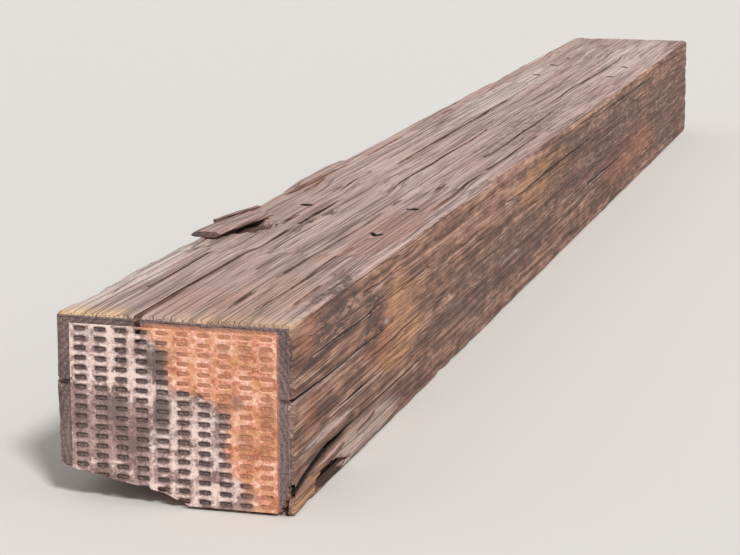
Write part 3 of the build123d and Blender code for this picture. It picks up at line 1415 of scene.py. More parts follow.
    def edge_radius(self, points: Array, along: Array) -> Array:
        """How far each point's long edge is worn round, with nicks.

        Args:
            points: places on the square block.
            along: distance from the worn end.

        Returns:
            Radii.
        """
        left = points[:, 0] < 0
        upper = points[:, 2] > self.size[2] / 2
        radius = np.where(
            left,
            np.where(upper, self.top_left_round, self.lower_left_round),
            np.where(upper, self.top_right_round, self.lower_right_round),
        )
        corner = left * 2.0 + upper * 4.0
        radius = radius * (1.0 + 0.45 * self.noise.fractal(along / 0.045, corner + 0.5, 3.5, 3))
        nick = smooth_step(self.noise.fractal(along / 0.030, corner + 9.5, 1.5, 2), 0.30, 0.55)
        return radius + 0.006 * nick

    def rounded(self, points: Array, along: Array) -> tuple[Array, Array]:
        """Wear the edges round.

        Args:
            points: places on the square block.
            along: distance from the worn end.

        Returns:
            New places, and the outward direction at each.
        """
        x, _, z = points.T
        radius = self.edge_radius(points, along)
        ahead = np.minimum(along, self.size[1] - along)
        cap = self.end_round
        inset = np.where(ahead < cap, cap - np.sqrt(np.maximum(cap**2 - (cap - ahead) ** 2, 0.0)), 0.0)
        core_x = np.clip(x, self.low[0] + radius, self.high[0] - radius)
        core_z = np.clip(z, self.low[2] + radius, self.high[2] - radius)
        out_x, out_z = x - core_x, z - core_z
        reach = np.sqrt(out_x**2 + out_z**2)
        on_ring = reach > 1e-7
        safe = np.where(on_ring, reach, 1.0)
        skin_x, skin_z = out_x / safe, out_z / safe
        shell = np.where(on_ring, np.minimum(reach, radius), 0.0)
        edge = self.edge_distance(points)
        tuck = np.where(edge < 1e-6, inset, inset * np.clip(1.0 - edge / cap, 0.0, 1.0))
        new = points.copy()
        new[:, 0] = core_x + skin_x * shell - skin_x * tuck
        new[:, 2] = core_z + skin_z * shell - skin_z * tuck
        return new, np.stack([skin_x, np.zeros_like(x), skin_z], axis=1)

    def edge_distance(self, points: Array) -> Array:
        """Distance of points to the nearest long side of the square block.

        Args:
            points: places on the square block.

        Returns:
            Distances.
        """
        across = np.minimum(points[:, 0] - self.low[0], self.high[0] - points[:, 0])
        up = np.minimum(points[:, 2] - self.low[2], self.high[2] - points[:, 2])
        return np.minimum(across, up)

    def shape(self, piece: bpy.types.Object, stations: Array) -> None:
        """Move the block's vertices to the worn timber's surface.

        Args:
            piece: the evenly divided block.
            stations: distances of its loops from the worn end.
        """
        grid = self.grid(piece, stations)
        along, far = grid.along, grid.far
        seams = {
            Face.TOP: self.top_seams,
            Face.UNDERSIDE: self.under_seams,
            Face.LEFT: self.left_seams,
            Face.RIGHT: self.right_seams,
        }
        checks = {face: self.face_checks(grid, face, seams[face]) for face in Face}
        self.open_split(grid, checks[Face.RIGHT])
        square = self.squared(grid, checks)
        points, skin = self.rounded(square, along)

        depth = sum(np.where(grid.faces[face], checks[face].depth, 0.0) for face in Face)
        # Painted shade of the checks, gathered from the four faces.
        check_shade = sum(np.where(grid.faces[face], checks[face].check_shade, 0.0) for face in Face)
        ring = np.any(list(grid.faces.values()), axis=0)
        furrow = self.furrows(square)
        furrow = np.where(grid.faces[Face.UNDERSIDE], 0.3 * furrow - 0.0004, furrow)
        points -= skin * np.where(ring, furrow + depth, 0.0)[:, None]

        inset = np.where(ring, self.end_shy, self.end_depth(square, far))
        points[:, 1] += np.where(grid.near, inset + self.end_notch(square), 0.0)
        points[:, 1] -= np.where(far, inset, 0.0)
        push = self.right_push(square[:, 2], along)
        write_points(piece, self.settled(points, along, push))
        self.stain(piece, square, along, check_shade, push)

    def squared(self, grid: Grid, checks: dict[Face, Checks]) -> Array:
        """Places on the square block, with its loops led from face to face.

        Args:
            grid: the block's loops.
            checks: places across each face.

        Returns:
            One row for each vertex.
        """
        right, _, up = grid.share.T
        x = checks[Face.TOP].place * up + checks[Face.UNDERSIDE].place * (1.0 - up)
        z = checks[Face.RIGHT].place * right + checks[Face.LEFT].place * (1.0 - right)
        return np.stack([x, self.low[1] + grid.along, z], axis=1)

    def settled(self, points: Array, along: Array, push: Array) -> Array:
        """Sink the top, lift the underside and set back the broken right side.

        Args:
            points: places of the vertices.
            along: distance from the worn end.
            push: how far the right side stands back.

        Returns:
            New places, none outside the timber's box.
        """
        new = points.copy()
        up = np.clip(points[:, 2] / self.size[2], 0.0, 1.0)
        rise = self.under_rise(points[:, 0], along)
        new[:, 2] += rise * (1.0 - up) - self.top_drop(points[:, 0], along) * up
        still = self.push_from
        new[:, 0] -= push * np.clip((points[:, 0] - still) / (self.high[0] - still), 0.0, 1.0)
        return np.clip(new, self.low + self.clearance, self.high - self.clearance)

    def plate_area(self, points: Array) -> Array:
        """One behind the end plate, falling to zero just outside it."""
        inside = window(points[:, 0], -self.plate_half, self.plate_half, 0.002)
        return inside * window(points[:, 2], self.plate_foot, self.plate_top, 0.002)

    def end_depth(self, points: Array, far: Array) -> Array:
        """How deep the end grain lies: rough beside the plate, pressed to it behind it.

        Args:
            points: places on the square block.
            far: whether each of them is on the far end.

        Returns:
            Depths below the block's ends.
        """
        x, _, z = points.T
        rough = 0.0012 + 0.0007 * self.noise.fractal(x / 0.02, 3.3, z / 0.02, 3)
        mirrored = np.where(far, -x, x)
        gap = self.plate_gap * (1.0 - PLATE_WEAR.rust(mirrored, z, far))
        behind = PLATE_WEAR.dent(mirrored, z, far) + gap - self.end_shy
        covered = self.plate_area(points)
        return rough * (1.0 - covered) + np.maximum(behind, self.clearance) * covered

    def end_notch(self, points: Array) -> Array:
        """Depth of the checks and the split where they open the rim of the worn end.

        Args:
            points: places on the square block.

        Returns:
            Depths behind the worn end.
        """
        x, _, z = points.T
        half = 0.0017
        top_cut = 0.030 * smooth_step(z, 0.146, 0.172) * (abs(x - self.top_seams[3].place) < half)
        side_cut = 0.005 * smooth_step(x, 0.092, 0.112) * (abs(z - self.right_seams[2].place) < half)
        left_cut = 0.008 * smooth_step(-x, 0.098, 0.112) * (abs(z - self.left_seams[2].place) < half)
        run = (self.high[0] - self.split_foot) / self.split_height[0]
        off_line = abs(x - self.split_foot - run * z) / math.hypot(1.0, run)
        low_cut = 0.020 * (1.0 - smooth_step(off_line, 0.0010, 0.0032)) * (x > self.split_foot - 0.002)
        return top_cut + side_cut + left_cut + low_cut

    def furrows(self, points: Array) -> Array:
        """Depth of the weathered grain below the sawn face.

        Args:
            points: places on the square block.

        Returns:
            Depths.
        """
        x, y, z = points.T
        broad = self.noise.fractal(x / 0.030, y / 0.42, z / 0.030, 2)
        fine = self.noise.fractal(x / 0.0085, y / 0.15, z / 0.0085, 2)
        cut = smooth_step(self.noise.fractal(x / 0.011, y / 0.12, z / 0.011 + 7.7, 2), 0.25, 0.6)
        chip = smooth_step(self.noise.fractal(x / 0.014, y / 0.040, z / 0.014 + 3.3, 2), 0.10, 0.50)
        chip = chip * (z < self.high[2] - 0.001)
        return 0.0016 + 0.0008 * broad + 0.0007 * fine + 0.0016 * cut + 0.0016 * chip

    def on_face(self, points: Array, face: Face) -> Array:
        """Whether points of the square block lie on one of its faces.

        Args:
            points: places on the square block.
            face: the face.

        Returns:
            True or False for each point.
        """
        axis, sign = face.value
        edge = (self.high if sign > 0 else self.low)[axis]
        return (points[:, axis] - edge) * sign > -self.on_face_within

    def patch_mask(self, points: Array, along: Array, patches: Sequence[Patch]) -> Array:
        """Cover of a set of patches.

        Args:
            points: places on the square block.
            along: distance from the worn end.
            patches: the patches.

        Returns:
            Cover, 0 outside the patches.
        """
        ragged = 0.45 * self.noise.fractal(points[:, 0] / 0.012, along / 0.06, points[:, 2] / 0.012, 3)
        total = np.zeros_like(along)
        for patch in patches:
            out_along = (along - patch.along) / patch.length
            out_across = (points[:, patch.face.across] - patch.across) / patch.width
            reach = np.sqrt(out_along**2 + out_across**2) + ragged
            cover = patch.strength * (1.0 - smooth_step(reach, 0.75, 1.1))
            total = np.where(self.on_face(points, patch.face), np.maximum(total, cover), total)
        return total

    def rubbed(self, points: Array, along: Array) -> Array:
        """How far the top edge of the worn end is rubbed bare.

        Args:
            points: places on the square block.
            along: distance from the worn end.

        Returns:
            Values between 0 and 1.
        """
        top = self.high[2]
        rim = window(points[:, 2], top - 0.004, top + 1.0, 0.004)
        share = np.interp(points[:, 0], self.rub_across, self.rub_share)
        return rim * share * (1.0 - smooth_step(along, *self.rub_reach))

    def stain(
        self, piece: bpy.types.Object, points: Array, along: Array, check_shade: Array, push: Array
    ) -> None:
        """Store where the timber is torn, tarred, bared, worn or rusty, and where painted shade lies in
        its checks, split, break and torn hollow.

        Args:
            piece: the timber.
            points: places on the square block.
            along: distance from the worn end.
            check_shade: painted shade inside the checks and the split.
            push: how far the right side stands back.
        """
        x, _, z = points.T
        right = self.on_face(points, Face.RIGHT)
        depth = self.tear(x, along) * self.on_face(points, Face.TOP)
        # Painted shade where the steep wall of the torn hollow shadows its floor.
        shade = smooth_step(depth, 0.25, 0.6) * window(along, 0.445, 0.492, 0.020)
        # Painted shade in the break on the right side: its set-back face and the low lip of wood at its
        # foot are painted dark.
        shelf = window(along, self.break_start, self.break_end, 0.006)
        shelf = shelf * right * (z < self.break_floor + 0.004)
        broken = np.maximum(smooth_step(push, 0.004, 0.016) * right, shelf)
        far = along > self.size[1] / 2
        rust = PLATE_WEAR.rust(np.where(far, -x, x), z, far)
        patches = {
            "tar": self.tar_patches,
            "fresh": self.fresh_patches,
            "ruddy": self.ruddy_patches,
            "pale": self.pale_patches,
        }
        marks = {name: self.patch_mask(points, along, group) for name, group in patches.items()}
        marks["crack"] = check_shade + 0.19 * broken + 0.17 * shade
        marks["torn"] = smooth_step(depth, 0.05, 0.4) + broken
        marks["worn"] = self.rubbed(points, along)
        marks["rust"] = rust * self.plate_area(points)
        write_marks(piece, marks)

    def spike_hole(self, piece: bpy.types.Object, across: float, along: float) -> None:
        """Sink one spike hole into the top.

        Args:
            piece: the timber.
            across: place of the hole across the timber.
            along: distance of the hole from the worn end.
        """
        axis = Vector((across, self.low[1] + along, 0.0))
        with editing(piece, Pick.FACES):
            bpy.ops.mesh.select_all(action="DESELECT")
            mesh = bmesh.from_edit_mesh(piece.data)
            self.round_rim(mesh, self.hole_faces(mesh, axis), axis)
            bmesh.update_edit_mesh(piece.data)
            for depth in (self.spike_lip, self.spike_depth - self.spike_lip):
                bpy.ops.mesh.extrude_region_move(TRANSFORM_OT_translate={"value": (0.0, 0.0, -depth)})
            mesh = bmesh.from_edit_mesh(piece.data)
            floor = {vert for face in mesh.faces if face.select for vert in face.verts}
            for vert in floor:
                vert.co.z = self.high[2] - self.seat_depth - self.spike_depth
            bmesh.update_edit_mesh(piece.data)

    def hole_faces(self, mesh: bmesh.types.BMesh, axis: Vector) -> list[bmesh.types.BMFace]:
        """Select the faces of the top that one spike hole takes in.

        Args:
            mesh: the timber's mesh in edit mode.
            axis: foot of the hole's axis.

        Returns:
            The faces.
        """
        chosen = []
        for face in mesh.faces:
            off = face.calc_center_median() - axis
            inside = max(abs(off.x), abs(off.y)) < self.spike_radius * 0.95
            if inside and off.z > self.high[2] * 0.8 and face.normal.z > 0.3:
                face.select_set(True)
                chosen.append(face)
        return chosen

    def round_rim(self, mesh: bmesh.types.BMesh, faces: list[bmesh.types.BMFace], axis: Vector) -> None:
        """Space the rim of the selected faces evenly on the hole's circle.

        Args:
            mesh: the timber's mesh in edit mode.
            faces: the selected faces.
            axis: foot of the hole's axis.
        """
        rim = set()
        for edge in {edge for face in faces for edge in face.edges}:
            if sum(face.select for face in edge.link_faces) == 1:
                rim.update(edge.verts)
        turns = sorted((math.atan2(vert.co.y - axis.y, vert.co.x - axis.x), vert.index) for vert in rim)
        count = len(turns)
        start = sum(turn - step * math.tau / count for step, (turn, _) in enumerate(turns)) / count
        mesh.verts.ensure_lookup_table()
        for step, (_, index) in enumerate(turns):
            turn = start + step * math.tau / count
            mesh.verts[index].co.x = axis.x + self.spike_radius * math.cos(turn)
            mesh.verts[index].co.y = axis.y + self.spike_radius * math.sin(turn)

    def blade(self, sliver: Splinter, share: Array, side: Array) -> Array:
        """Places on the skin of a loose sliver.

        Args:
            sliver: where it lies and how thick it is.
            share: 0 at its root to 1 at its tip.
            side: direction from its spine, across and up.

        Returns:
            The places.
        """
        start, stop = (np.array(end) + (0.0, self.low[1], 0.0) for end in (sliver.root, sliver.tip))
        places = start + (stop - start) * share[:, None]
        places = places + np.array(sliver.bow) * np.sin(math.pi * share)[:, None]
        taper = sliver.blunt + (1.0 - sliver.blunt) * np.sqrt(np.clip(1.0 - share, 0.0, 1.0))
        taper = taper * (1.0 + 0.12 * self.noise.at(share * 9, start[0] * 99, side[:, 0] * 2))
        places[:, 0] += side[:, 0] * sliver.width * taper
        places[:, 2] += side[:, 1] * sliver.thickness * taper
        ragged = self.noise.fractal(places[:, 0] / 0.006, places[:, 1] / 0.03, places[:, 2] / 0.006, 2)
        places[:, 1] += ragged * smooth_step(share, 0.85, 1.0) * sliver.width * 0.8
        places[:, 2] += ragged * 0.0006 - 0.0006
        return places

    def splinter(self, sliver: Splinter) -> bpy.types.Object:
        """Model one loose sliver as a closed, tapering blade.

        Args:
            sliver: where it lies and how thick it is.

        Returns:
            The sliver.
        """
        deselect()
        bpy.ops.mesh.primitive_cone_add(vertices=8, radius1=0.05, radius2=0.004, depth=1.0)
        piece = bpy.context.object
        with editing(piece):
            edges_along(piece, 2)
            bpy.ops.mesh.subdivide(number_cuts=11)
        points = read_points(piece)
        share = points[:, 2] + 0.5
        side = points[:, :2] / np.maximum(np.hypot(points[:, 0], points[:, 1])[:, None], 1e-6)
        side = np.sign(side) * abs(side) ** 0.7
        write_points(piece, self.blade(sliver, share, side))
        # Painted shade under the sliver toward its root and on the left of its tip, stored with the crack
        # marks; the underside also takes the torn wood colour.
        below = smooth_step(-side[:, 1], -0.4, 0.2)
        bare = below * (1.0 - smooth_step(share, 0.60, 0.80))
        tip = smooth_step(share, 0.9, 1.0) * smooth_step(-side[:, 0], 0.0, 0.6)
        write_marks(piece, {"torn": 0.25 * below + 0.75 * bare, "crack": 0.16 * bare + 0.20 * tip})
        with editing(piece):
            turn_outward()
        return piece

    def paint_hole_shade(self, piece: bpy.types.Object) -> None:
        """Paint shade on the walls of the spike holes by setting their crack mark to full.

        Args:
            piece: the timber.
        """
        points = read_points(piece)
        layer = piece.data.attributes["crack"]
        values = np.empty(len(points), dtype=np.float32)
        layer.data.foreach_get("value", values)
        slack = 0.0005
        for across, along in self.hole_places():
            reach = np.hypot(points[:, 0] - across, points[:, 1] - self.low[1] - along)
            below = points[:, 2] < self.high[2] - self.seat_depth - self.spike_lip - slack
            inside = (reach < self.spike_radius + slack) & below & (points[:, 2] > self.size[2] / 4)
            values = np.where(inside, 1.0, values)
        layer.data.foreach_set("value", values.astype(np.float32))

    def hole_places(self) -> list[tuple[float, float]]:
        """Places of the spike holes, across and along.

        Returns:
            A pair of distances for each hole.
        """
        places = []
        for side in (-1, 1):
            centre = self.size[1] / 2 + side * self.gauge_half
            for across in (-self.spike_across, self.spike_across):
                for offset in (-self.spike_along, self.spike_along):
                    places.append((across, centre + offset))
        return places

    def build(self, finish: WeatheredTimber) -> bpy.types.Object:
        """Model and dress the timber.

        Args:
            finish: the timber's finish.

        Returns:
            The timber.
        """
        stations = self.stations()
        piece = self.block(len(stations))
        self.shape(piece, stations)
        for across, along in self.hole_places():
            self.spike_hole(piece, across, along)
        # Painted shade inside the spike holes.
        self.paint_hole_shade(piece)
        join([piece, *(self.splinter(sliver) for sliver in self.splinters)])
        bpy.ops.object.shade_smooth_by_angle(angle=math.radians(self.smooth_angle))
        piece.data.materials.append(finish.build())
        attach(piece, "root")
        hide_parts("timber")
        return piece


@dataclass(frozen=True)
class Spot:
    """A stain on a plate, as an ellipse across and up."""

    across: float
    up: float
    width: float
    height: float
    strength: float = 1.0


@dataclass
class EndPlate:
    """A punched plate pressed on one end of the timber."""

    node: str
    far: bool = False
    columns: int = 10
    rows: int = 18
    pitch_across: float = 0.0197
    pitch_up: float = 0.0091
    slot_half: float = 0.0065
    slot_rise: float = 0.0019
    thickness: float = 0.0012
    tooth_length: float = 0.008
    foot: float = 0.0034
    slot_bend: float = 0.62
    slot_rim: float = 0.0016
    slot_levels: tuple[tuple[float, float], ...] = (
        (0.0, 0.00100),
        (0.00025, 0.00045),
        (0.0008, 0.00010),
        (0.0016, 0.0),
    )
    cell_dip: float = 0.00025
    merge_within: float = 0.00002
    smooth_angle: float = 50.0
    wear_line: tuple[tuple[float, float], ...] = ((-0.1300, 0.0370), (-0.0095, 0.0140), (0.0225, 0.0))
    wear_foot: tuple[tuple[float, float], ...] = ((0.03, -0.01), (-0.13, -0.01))
    sheen: float = 0.0
    soot_spots: tuple[Spot, ...] = (
        Spot(-0.016, 0.135, 0.012, 0.011),
        Spot(-0.010, 0.088, 0.009, 0.018),
        Spot(-0.055, 0.091, 0.014, 0.010, 0.9),
        Spot(0.062, 0.1035, 0.006, 0.006, 0.7),
    )
    # Bright patches of zinc, partly clean metal and partly painted highlight.
    bright_spots: tuple[Spot, ...] = (
        Spot(-0.059, 0.134, 0.007, 0.036, 1.1),
        Spot(-0.039, 0.130, 0.007, 0.032, 1.1),
        Spot(-0.068, 0.158, 0.050, 0.014, 0.8),
        Spot(-0.086, 0.135, 0.030, 0.034, 0.6),
        Spot(-0.049, 0.120, 0.030, 0.004, 1.0),
        Spot(-0.052, 0.134, 0.040, 0.034, 0.65),
        Spot(-0.020, 0.108, 0.020, 0.010, 1.0),
        Spot(-0.026, 0.122, 0.010, 0.016, 0.8),
        Spot(0.027, 0.048, 0.018, 0.017, 1.2),
        Spot(0.024, 0.082, 0.018, 0.014, 0.9),
        Spot(0.058, 0.032, 0.012, 0.018, 1.2),
        Spot(0.043, 0.018, 0.024, 0.011, 1.1),
        Spot(0.001, 0.078, 0.005, 0.030, 0.9),
        Spot(0.020, 0.101, 0.026, 0.007, 0.75),
        Spot(0.049, 0.062, 0.008, 0.032, 0.55),
        Spot(0.012, 0.060, 0.030, 0.040, 0.5),
        Spot(0.010, 0.012, 0.044, 0.012, 0.8),
        Spot(-0.020, 0.060, 0.005, 0.040, 0.35),
        Spot(-0.068, 0.030, 0.040, 0.014, 0.3),
    )
    bronze_spots: tuple[Spot, ...] = (
        Spot(0.0675, 0.067, 0.009, 0.012, 1.1),
        Spot(0.090, 0.095, 0.008, 0.016, 1.1),
        Spot(0.048, 0.152, 0.006, 0.005),
        Spot(0.067, 0.152, 0.008, 0.005),
        Spot(0.086, 0.148, 0.006, 0.008),
        Spot(0.086, 0.060, 0.005, 0.004),
        Spot(0.034, 0.145, 0.005, 0.004, 0.8),
        Spot(0.010, 0.106, 0.012, 0.006, 0.6),
        Spot(0.056, 0.102, 0.008, 0.008, 0.8),
    )

    @property
    def middle(self) -> float:
        """Height of the plate's centre."""
        return self.foot + self.rows * self.pitch_up / 2

    def slot_ring(self, corners: Array, grow: float) -> Array:
        """Rounded outline of a slot, one point for each corner given.

        Args:
            corners: points on the cell's edge.
            grow: how far outside the slot's edge the ring lies.

        Returns:
            The ring's points.
        """
        angle = np.arctan2(corners[:, 1] / self.pitch_up, corners[:, 0] / self.pitch_across)
        right, top = np.cos(angle), np.sin(angle)
        across = np.sign(right) * abs(right) ** self.slot_bend * (self.slot_half + grow)
        up = np.sign(top) * abs(top) ** self.slot_bend * (self.slot_rise + grow)
        return np.stack([across, up], axis=1)

    def cell_edge(self) -> Array:
        """Points round one cell's edge, counter-clockwise from the right.

        Returns:
            One row for each point.
        """
        half_x, half_z = self.pitch_across / 2, self.pitch_up / 2
        across = np.linspace(-half_x, half_x, 7)
        top = [(x, half_z) for x in across[::-1]]
        bottom = [(x, -half_z) for x in across]
        return np.array([(half_x, 0.0), *top, (-half_x, 0.0), *bottom])

    def sheet_cell(self) -> bpy.types.Object:
        """One cell of the sheet: a slot with a rolled-in rim.

        Returns:
            The cell, an open skin about the origin.
        """
        edge = self.cell_edge()
        levels = [(self.slot_ring(edge, grow), depth) for grow, depth in self.slot_levels]
        levels.append((edge, self.cell_dip))
        deselect()
        bpy.ops.mesh.primitive_circle_add(vertices=len(edge), radius=self.slot_half, fill_type="NOTHING")
        piece = bpy.context.object
        with editing(piece):
            bpy.ops.mesh.select_all(action="SELECT")
            for _ in levels[1:]:
                bpy.ops.mesh.extrude_edges_move()
        points = read_points(piece)
        count = len(edge)
        order = np.argsort(np.arctan2(points[:count, 1], points[:count, 0]) % (2 * math.pi))
        start = np.argsort(np.arctan2(edge[:, 1], edge[:, 0]) % (2 * math.pi))
        for level, (ring, depth) in enumerate(levels):
            rows = points[level * count:(level + 1) * count]
            rows[order] = np.column_stack([ring[start, 0], np.full(count, depth), ring[start, 1]])
        write_points(piece, points)
        return piece

    def tooth_cell(self) -> bpy.types.Object:
        """The two pointed teeth of one slot.

        Returns:
            The teeth, joined, about the origin.
        """
        teeth = []
        for side in (-1, 1):
            deselect()
            bpy.ops.mesh.primitive_cone_add(
                vertices=4,
                radius1=1.0,
                radius2=0.05,
                depth=self.tooth_length,
                location=(0.0, 0.0, 0.0),
                rotation=(-math.pi / 2, 0.0, 0.0),
            )
            tooth = bpy.context.object
            bpy.ops.object.transform_apply(location=True, rotation=True, scale=True)
            points = read_points(tooth)
            points[:, 0] = points[:, 0] * self.thickness / 2 + side * (self.slot_half - self.thickness / 2)
            points[:, 2] *= self.slot_rise
            points[:, 1] += self.tooth_length / 2 + self.thickness * 0.7
            write_points(tooth, points)
            teeth.append(tooth)
        return join(teeth)

    def repeat(self, piece: bpy.types.Object, merge: bool) -> None:
        """Copy a cell over the whole plate.

        Args:
            piece: the cell.
            merge: whether touching edges are joined.
        """
        activate(piece)
        steps = ((self.columns, (self.pitch_across, 0.0, 0.0)), (self.rows, (0.0, 0.0, self.pitch_up)))
        for count, step in steps:
            array = piece.modifiers.new("repeat", "ARRAY")
            array.use_relative_offset = False
            array.use_constant_offset = True
            array.constant_offset_displace = step
            array.count = count
            array.use_merge_vertices = merge
            array.merge_threshold = self.merge_within
            bpy.ops.object.modifier_apply(modifier=array.name)
        points = read_points(piece)
        points[:, 0] -= (self.columns - 1) / 2 * self.pitch_across
        points[:, 2] -= (self.rows - 1) / 2 * self.pitch_up
        write_points(piece, points)

    def skin(self) -> bpy.types.Object:
        """The whole punched sheet, given its thickness.

        Returns:
            The sheet, about the origin.
        """
        sheet = self.sheet_cell()
        self.repeat(sheet, True)
        with editing(sheet):
            turn_outward()
            mesh = bmesh.from_edit_mesh(sheet.data)
            if sum(face.normal.y for face in mesh.faces) > 0:
                bpy.ops.mesh.flip_normals()
        solid = sheet.modifiers.new("thickness", "SOLIDIFY")
        solid.thickness = self.thickness
        solid.offset = -1.0
        bpy.ops.object.modifier_apply(modifier=solid.name)
        return sheet

    def place(self, piece: bpy.types.Object) -> None:
        """Dent the plate a little and set it on its end of the timber.

        Args:
            piece: the sheet or its teeth.
        """
        points = read_points(piece)
        x, z = points[:, 0], points[:, 2]
        points[:, 1] += PLATE_WEAR.dent(x, z + self.middle, self.far)
        points[:, 2] += self.middle
        low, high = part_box(self.node)
        if self.far:
            points[:, 0] *= -1.0
            points[:, 1] = high[1] - points[:, 1]
        else:
            points[:, 1] += low[1]
        write_points(piece, points)

    def wedge(self) -> bpy.types.Object:
        """Block under the wear line, which takes the lower left corner away.

        Returns:
            The closed block.
        """
        outline = [*self.wear_line, *self.wear_foot]
        deselect()
        bpy.ops.mesh.primitive_circle_add(vertices=len(outline), radius=0.1, fill_type="NGON")
        piece = bpy.context.object
        points = read_points(piece)
        order = np.argsort(np.arctan2(points[:, 1], points[:, 0]))
        centre = np.mean(outline, axis=0)
        start = sorted(outline, key=lambda spot: math.atan2(spot[1] - centre[1], spot[0] - centre[0]))
        for place, (across, up) in zip(order, start):
            points[place] = (across, self.tooth_length * 2, up)
        points[:, 1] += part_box(self.node)[0][1]
        write_points(piece, points)
        reach = (0.0, -self.tooth_length * 4, 0.0)
        with editing(piece):
            bpy.ops.mesh.select_all(action="SELECT")
            bpy.ops.mesh.extrude_region_move(TRANSFORM_OT_translate={"value": reach})
            turn_outward()
        return piece

    def cut_corner(self, piece: bpy.types.Object) -> None:
        """Take off the lower left corner that wore away with the timber.

        Args:
            piece: the sheet, in place.
        """
        wedge = self.wedge()
        activate(piece)
        cut = piece.modifiers.new("wear", "BOOLEAN")
        cut.operation = "DIFFERENCE"
        cut.solver = "EXACT"
        cut.object = wedge
        bpy.ops.object.modifier_apply(modifier=cut.name)
        bpy.data.objects.remove(wedge)

    def drop_teeth(self, piece: bpy.types.Object) -> None:
        """Leave out the teeth below the wear line.

        Args:
            piece: the teeth, in place.
        """
        line_x, line_z = zip(*self.wear_line)
        with editing(piece, Pick.POINTS):
            bpy.ops.mesh.select_all(action="DESELECT")
            mesh = bmesh.from_edit_mesh(piece.data)
            for vert in mesh.verts:
                if vert.co.z < float(np.interp(vert.co.x, line_x, line_z)) + self.slot_rise:
                    vert.select_set(True)
            bmesh.update_edit_mesh(piece.data)
            bpy.ops.mesh.select_linked()
            bpy.ops.mesh.delete(type="VERT")

    def spotted(self, x: Array, z: Array, spots: Sequence[Spot], ragged: Array) -> Array:
        """Cover of a set of spots with ragged edges.

        Args:
            x: place across, from the plate's middle.
            z: height above the timber's underside.
            spots: the spots.
            ragged: how far the edge wanders.

        Returns:
            Cover, 0 outside the spots.
        """
        total = np.zeros_like(x)
        for spot in spots:
            reach = np.hypot((x - spot.across) / spot.width, (z - spot.up) / spot.height)
            total = np.maximum(total, spot.strength * (1.0 - smooth_step(reach + ragged, 0.6, 1.25)))
        return total

    def stain(self, piece: bpy.types.Object) -> None:
        """Store where the plate is rusted, sooty or browned, where it is bright as clean zinc and painted
        highlight, and where its rims, webs and slot dishes take painted highlight and shade.

        Args:
            piece: the plate, in place.
        """
        points = read_points(piece)
        x, z = points[:, 0], points[:, 2]
        if self.far:
            x = -x
        cell_x = (x + self.columns / 2 * self.pitch_across) % self.pitch_across
        cell_z = (z - self.foot) % self.pitch_up
        from_x = abs(cell_x - self.pitch_across / 2) / (self.slot_half + self.slot_rim)
        from_z = abs(cell_z - self.pitch_up / 2) / (self.slot_rise + self.slot_rim)
        reach = (from_x**3 + from_z**3) ** (1 / 3)
        upright, rung = smooth_step(from_x, 1.0, 1.12), smooth_step(from_z, 0.92, 1.16)
        level = PLATE_WEAR.noise.at(x / self.pitch_across, 8.5, z / self.pitch_up)
        ragged = 0.35 * PLATE_WEAR.noise.fractal(x / 0.010, 6.5, z / 0.008, 3)
        spots = {"bright": self.bright_spots, "soot": self.soot_spots, "bronze": self.bronze_spots}
        marks = {name: self.spotted(x, z, group, ragged) for name, group in spots.items()}
        marks["bright"] += self.sheen
        # Rims and webs carry painted highlight, and dishes painted shade.
        marks["rim"] = 1.0 - abs(reach - 0.85) / 0.35
        marks["dish"] = 1.0 - smooth_step(reach, 0.72, 0.93)
        # Silt in the slots, also used to paint light into them against their shade.
        marks["silt"] = 0.35 + 0.55 * smooth_step(z, 0.096, 0.112) + 0.6 * level
        marks["web"] = np.maximum(0.9 * upright, 0.75 * rung)
        marks["rust"] = PLATE_WEAR.rust(x, z, self.far)
        write_marks(piece, marks)

    def build(self, finish: bpy.types.Material) -> bpy.types.Object:
        """Model and dress the plate.

        Args:
            finish: the plate material.

        Returns:
            The plate.
        """
        sheet = self.skin()
        teeth = self.tooth_cell()
        self.repeat(teeth, False)
        for piece in (sheet, teeth):
            self.place(piece)
        if not self.far:
            self.cut_corner(sheet)
            self.drop_teeth(teeth)
        join([sheet, teeth])
        self.stain(sheet)
        bpy.ops.object.shade_smooth_by_angle(angle=math.radians(self.smooth_angle))
        sheet.name = self.node + "_sheet"
        sheet.data.materials.append(finish)
        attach(sheet, "root")
        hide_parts(self.node)
        return sheet


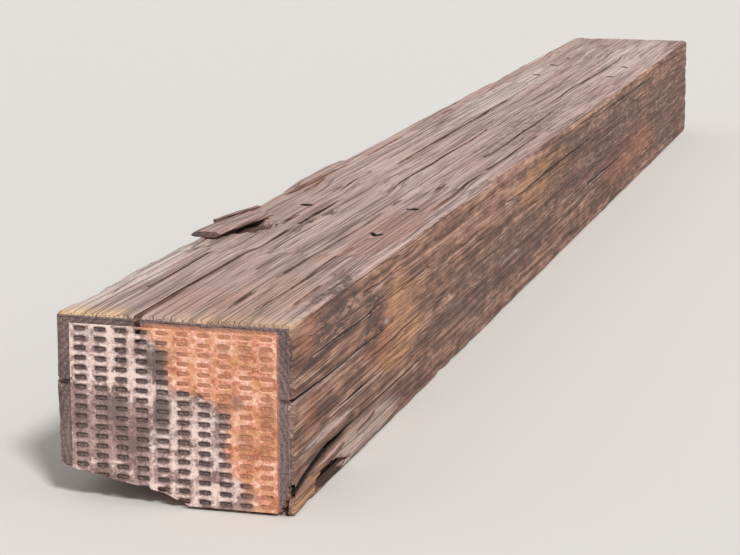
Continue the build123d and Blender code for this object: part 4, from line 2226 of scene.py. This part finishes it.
@dataclass
class Studio:
    """Floor, lights and camera."""

    floor_half: float = 30.0
    camera_place: Triple = (0.6975, -3.153, 0.624)
    camera_aim: Triple = (0.0, -0.628, 0.081)
    focal_pixels: float = 2270.0
    picture_width: float = 740.0
    sensor: float = 36.0
    sun_place: Triple = (1.3, -1.8, 2.0)
    sun_strength: float = 2.5
    sun_angle: float = 10.0
    sky_strength: float = 0.45
    backdrop: Colour = (0.86, 0.85, 0.83)
    clip_end: float = 200.0

    def floor(self) -> None:
        """Add the floor."""
        deselect()
        bpy.ops.mesh.primitive_plane_add(size=2 * self.floor_half, location=(0.0, 0.0, 0.0))
        floor = bpy.context.object
        floor.name = "floor"
        floor.data.materials.append(FloorPaint().build())

    def sky(self) -> None:
        """Soft light from all round, and a pale backdrop for the camera."""
        world = bpy.data.worlds.new("studio")
        bpy.context.scene.world = world
        world.use_nodes = True
        wires = Wiring(world.node_tree)
        path = wires.node("ShaderNodeLightPath", {}, {})
        seen = Signal(wires, path.outputs["Is Camera Ray"])
        seen = seen.higher(Signal(wires, path.outputs["Is Glossy Ray"]))
        seen = seen.higher(Signal(wires, path.outputs["Is Transmission Ray"]))
        colour = wires.mix(seen, (1.0, 1.0, 1.0), self.backdrop)
        strength = self.sky_strength + seen * (1.0 - self.sky_strength)
        light = wires.node("ShaderNodeBackground", {}, {"Color": colour, "Strength": strength})
        output = wires.node("ShaderNodeOutputWorld", {}, {})
        world.node_tree.links.new(light.outputs[0], output.inputs["Surface"])

    @staticmethod
    def turn(place: Triple, aim: Triple) -> Euler:
        """Turn that makes a lamp or camera at place look at aim."""
        return (Vector(aim) - Vector(place)).to_track_quat("-Z", "Y").to_euler()

    def sun(self) -> None:
        """Soft key light from the right behind the camera."""
        deselect()
        turn = self.turn(self.sun_place, (0.0, 0.0, 0.0))
        bpy.ops.object.light_add(type="SUN", location=self.sun_place, rotation=turn)
        lamp = bpy.context.object.data
        lamp.energy = self.sun_strength
        lamp.angle = math.radians(self.sun_angle)

    def camera(self) -> None:
        """Camera where the photographer stood, aimed at the sleeper."""
        deselect()
        turn = self.turn(self.camera_place, self.camera_aim)
        bpy.ops.object.camera_add(location=self.camera_place, rotation=turn)
        camera = bpy.context.object
        camera.data.sensor_width = self.sensor
        camera.data.lens = self.focal_pixels * self.sensor / self.picture_width
        camera.data.clip_end = self.clip_end
        bpy.context.scene.camera = camera

    def build(self) -> None:
        """Set the stage."""
        self.floor()
        self.sky()
        self.sun()
        self.camera()
        bpy.context.scene.view_settings.view_transform = "Standard"


def main() -> None:
    logging.basicConfig(level=logging.INFO, format="%(name)s %(message)s")
    Studio().build()
    pieces = [Timber().build(WeatheredTimber())]
    steel = EndPlateSteel().build()
    pieces.append(EndPlate("end_plate_near").build(steel))
    far = EndPlate("end_plate_far", far=True, sheen=0.45, soot_spots=(), bright_spots=(), bronze_spots=())
    pieces.append(far.build(steel))
    for piece in pieces:
        faces = sum(len(polygon.vertices) - 2 for polygon in piece.data.polygons)
        LOG.info("%s: %d triangles", piece.name, faces)


if __name__ == "__main__":
    main()
